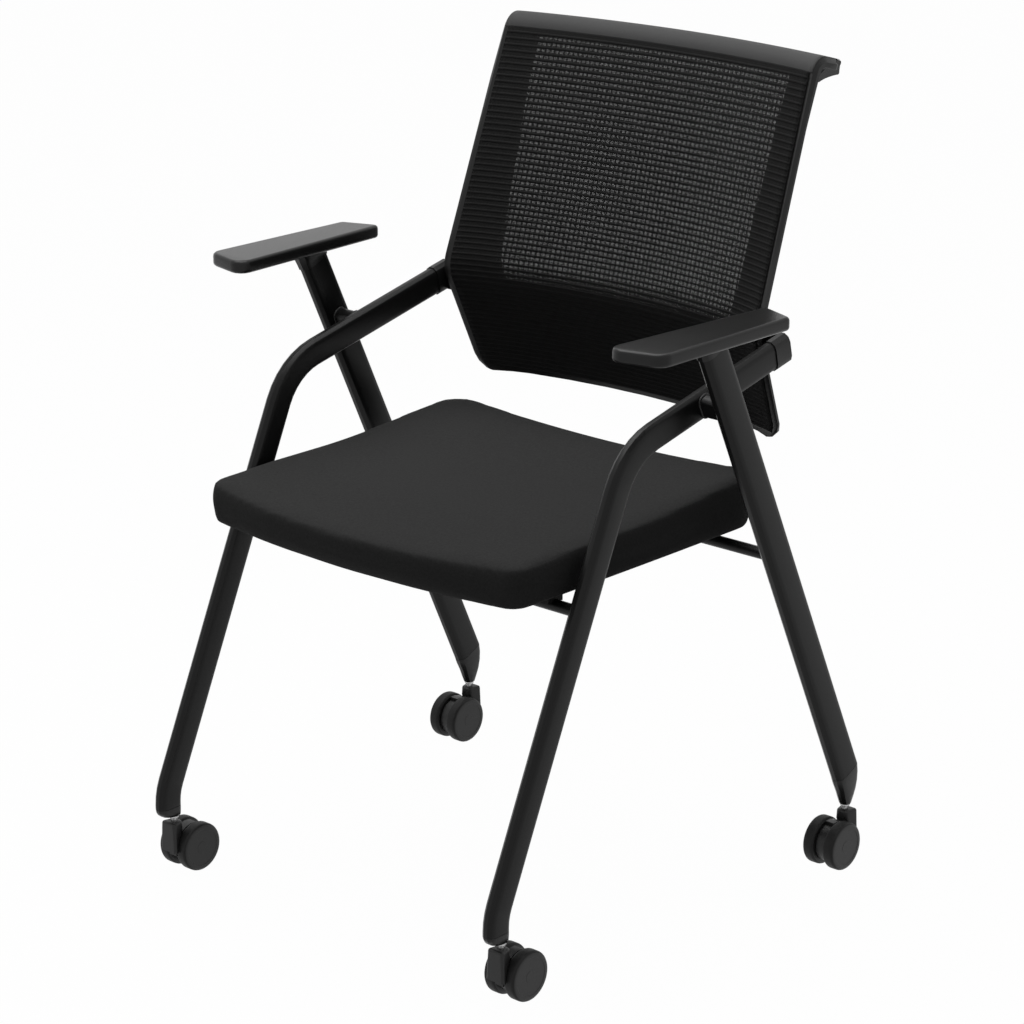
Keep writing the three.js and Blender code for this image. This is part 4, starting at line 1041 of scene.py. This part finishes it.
band_cloth = thread_finish(
    "band_cloth", yarn_group, level=0.062, roughness=0.6, gloss=0.12,
    threads=5200.0, contrast=0.3, depth=thread_depth, dust_and_sheen=0.006,
)
finishes = {
    "frame_steel": powder_coat, "black_plastic": shell_plastic, "back_net": net_yarn,
    "seat_fabric": seat_cloth, "castor_plastic": castor_nylon, "rest_rubber": pad_rubber,
    "zinc_steel": zinc_plate,
}


def wear_finish(obj, *materials):
    """Gives an object its finishes, in place of any it had."""
    obj.data.materials.clear()
    for material in materials:
        obj.data.materials.append(material)


def dress(obj):
    """Gives a CAD node the finish of its slot, and softens its hard edges."""
    slot = obj.data.materials[0].name
    wear_finish(obj, finishes[slot])
    soften(obj)


def soften(obj):
    """Rounds an object's hard edges a little, and shades it smooth, with its flat faces even."""
    obj.data.shade_smooth()
    weld = obj.modifiers.new("weld", "WELD")
    weld.merge_threshold = weld_reach
    bevel = obj.modifiers.new("soft_edges", "BEVEL")
    bevel.width = edge_softness
    bevel.segments = 2
    bevel.limit_method = "ANGLE"
    bevel.angle_limit = soft_angle
    bevel.harden_normals = True
    obj.modifiers.new("even_shading", "WEIGHTED_NORMAL")


def place_piece(obj, slot, body, *replaced):
    """Hangs a new piece on its body, and hides the CAD parts that it stands in for; the slot is not used.
    """
    if replaced:
        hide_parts(*replaced)
    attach(obj, body)


def build_floor():
    """A wide pale floor, which keeps the chair's shadow."""
    points = [(x * floor_half, y * floor_half, 0) for x, y in ((-1, -1), (1, -1), (1, 1), (-1, 1))]
    floor = mesh_object("floor", points, [(0, 1, 2, 3)], smooth=False)
    material, tree = empty_material("floor_white")
    matt = add_node(tree, "ShaderNodeBsdfDiffuse", {"Color": (*floor_color, 1)}).outputs["BSDF"]
    glow = add_node(tree, "ShaderNodeEmission").outputs["Emission"]
    surface = blended(tree, seen_share(tree, floor_whiteness), matt, glow)
    add_node(tree, "ShaderNodeOutputMaterial", {"Surface": surface})
    floor.data.materials.append(material)


def seen_share(tree, share):
    """A share that holds for camera, glossy and transmission rays, and is 0 for the rest."""
    path = add_node(tree, "ShaderNodeLightPath").outputs
    seen = maths(tree, "MAXIMUM", path["Is Camera Ray"], path["Is Glossy Ray"])
    seen = maths(tree, "MAXIMUM", seen, path["Is Transmission Ray"])
    return maths(tree, "MULTIPLY", seen, share)


def blended(tree, share, first, second):
    """Two shaders mixed by a share."""
    return add_node(tree, "ShaderNodeMixShader", {"Fac": share, 1: first, 2: second}).outputs["Shader"]


def build_world():
    """Soft light from all round; the camera sees white."""
    world = bpy.data.worlds.new("studio")
    bpy.context.scene.world = world
    world.use_nodes = True
    tree = world.node_tree
    tree.nodes.clear()
    soft = add_node(tree, "ShaderNodeBackground", {"Strength": world_level}).outputs["Background"]
    white = add_node(tree, "ShaderNodeBackground", {"Color": (1, 1, 1, 1)}).outputs["Background"]
    surface = blended(tree, seen_share(tree, 1.0), soft, white)
    add_node(tree, "ShaderNodeOutputWorld", {"Surface": surface})


def add_softbox(name, place, aim, size, power):
    """A square soft lamp that faces a point."""
    lamp = bpy.data.lights.new(name, "AREA")
    lamp.shape = "SQUARE"
    lamp.size = size
    lamp.energy = power
    obj = link(bpy.data.objects.new(name, lamp))
    obj.location = place
    obj.rotation_euler = (Vector(aim) - Vector(place)).to_track_quat("-Z", "Y").to_euler()


def build_camera():
    """The photograph's camera."""
    camera = bpy.data.cameras.new("photo_camera")
    camera.sensor_width = sensor_width
    camera.lens = camera_lens
    camera.shift_x, camera.shift_y = camera_shift
    obj = link(bpy.data.objects.new("photo_camera", camera))
    turn = Euler((math.pi / 2 - camera_elevation, 0, camera_azimuth)).to_matrix()
    turn = turn @ Matrix.Rotation(camera_roll, 3, "Z")
    obj.matrix_world = Matrix.Translation(camera_place) @ turn.to_4x4()
    bpy.context.scene.camera = obj


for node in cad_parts.values():
    dress(node)

net = build_net()
wear_finish(net, net_yarn)
place_piece(net, "back_net", "frame", "back_net")

binding = build_binding()
wear_finish(binding, binding_thread)
place_piece(binding, "back_net", "frame")

cove = build_lip_cove()
wear_finish(cove, shell_plastic)
place_piece(cove, "black_plastic", "frame")

band = build_top_band()
wear_finish(band, band_cloth)
place_piece(band, "back_net", "frame")

beads = build_weld_beads()
wear_finish(beads, weld_steel)
place_piece(beads, "frame_steel", "frame")

cushion = build_cushion()
wear_finish(cushion, seat_cloth)
place_piece(cushion, "seat_fabric", "seat", "seat_cushion")

for end in ("front", "rear"):
    for side in ("left", "right"):
        hood_node = f"castor_hood_{end}_{side}"
        hood = build_hood(hood_node, f"castor_stem_{end}_{side}")
        wear_finish(hood, castor_nylon)
        soften(hood)
        place_piece(hood, "castor_plastic", f"castor_{end}_{side}", hood_node)
        for face in ("inner", "outer"):
            wheel_node = f"wheel_{end}_{side}_{face}"
            wheel = build_wheel(wheel_node, f"castor_stem_{end}_{side}")
            wear_finish(wheel, castor_nylon, tyre_rubber)
            mark_tyre(wheel, wheel_node)
            place_piece(wheel, "castor_plastic", wheel_node, wheel_node)

build_floor()
build_world()
for lamp_name, lamp in lamps.items():
    add_softbox(lamp_name, *lamp)
build_camera()
bpy.context.scene.view_settings.view_transform = "Standard"
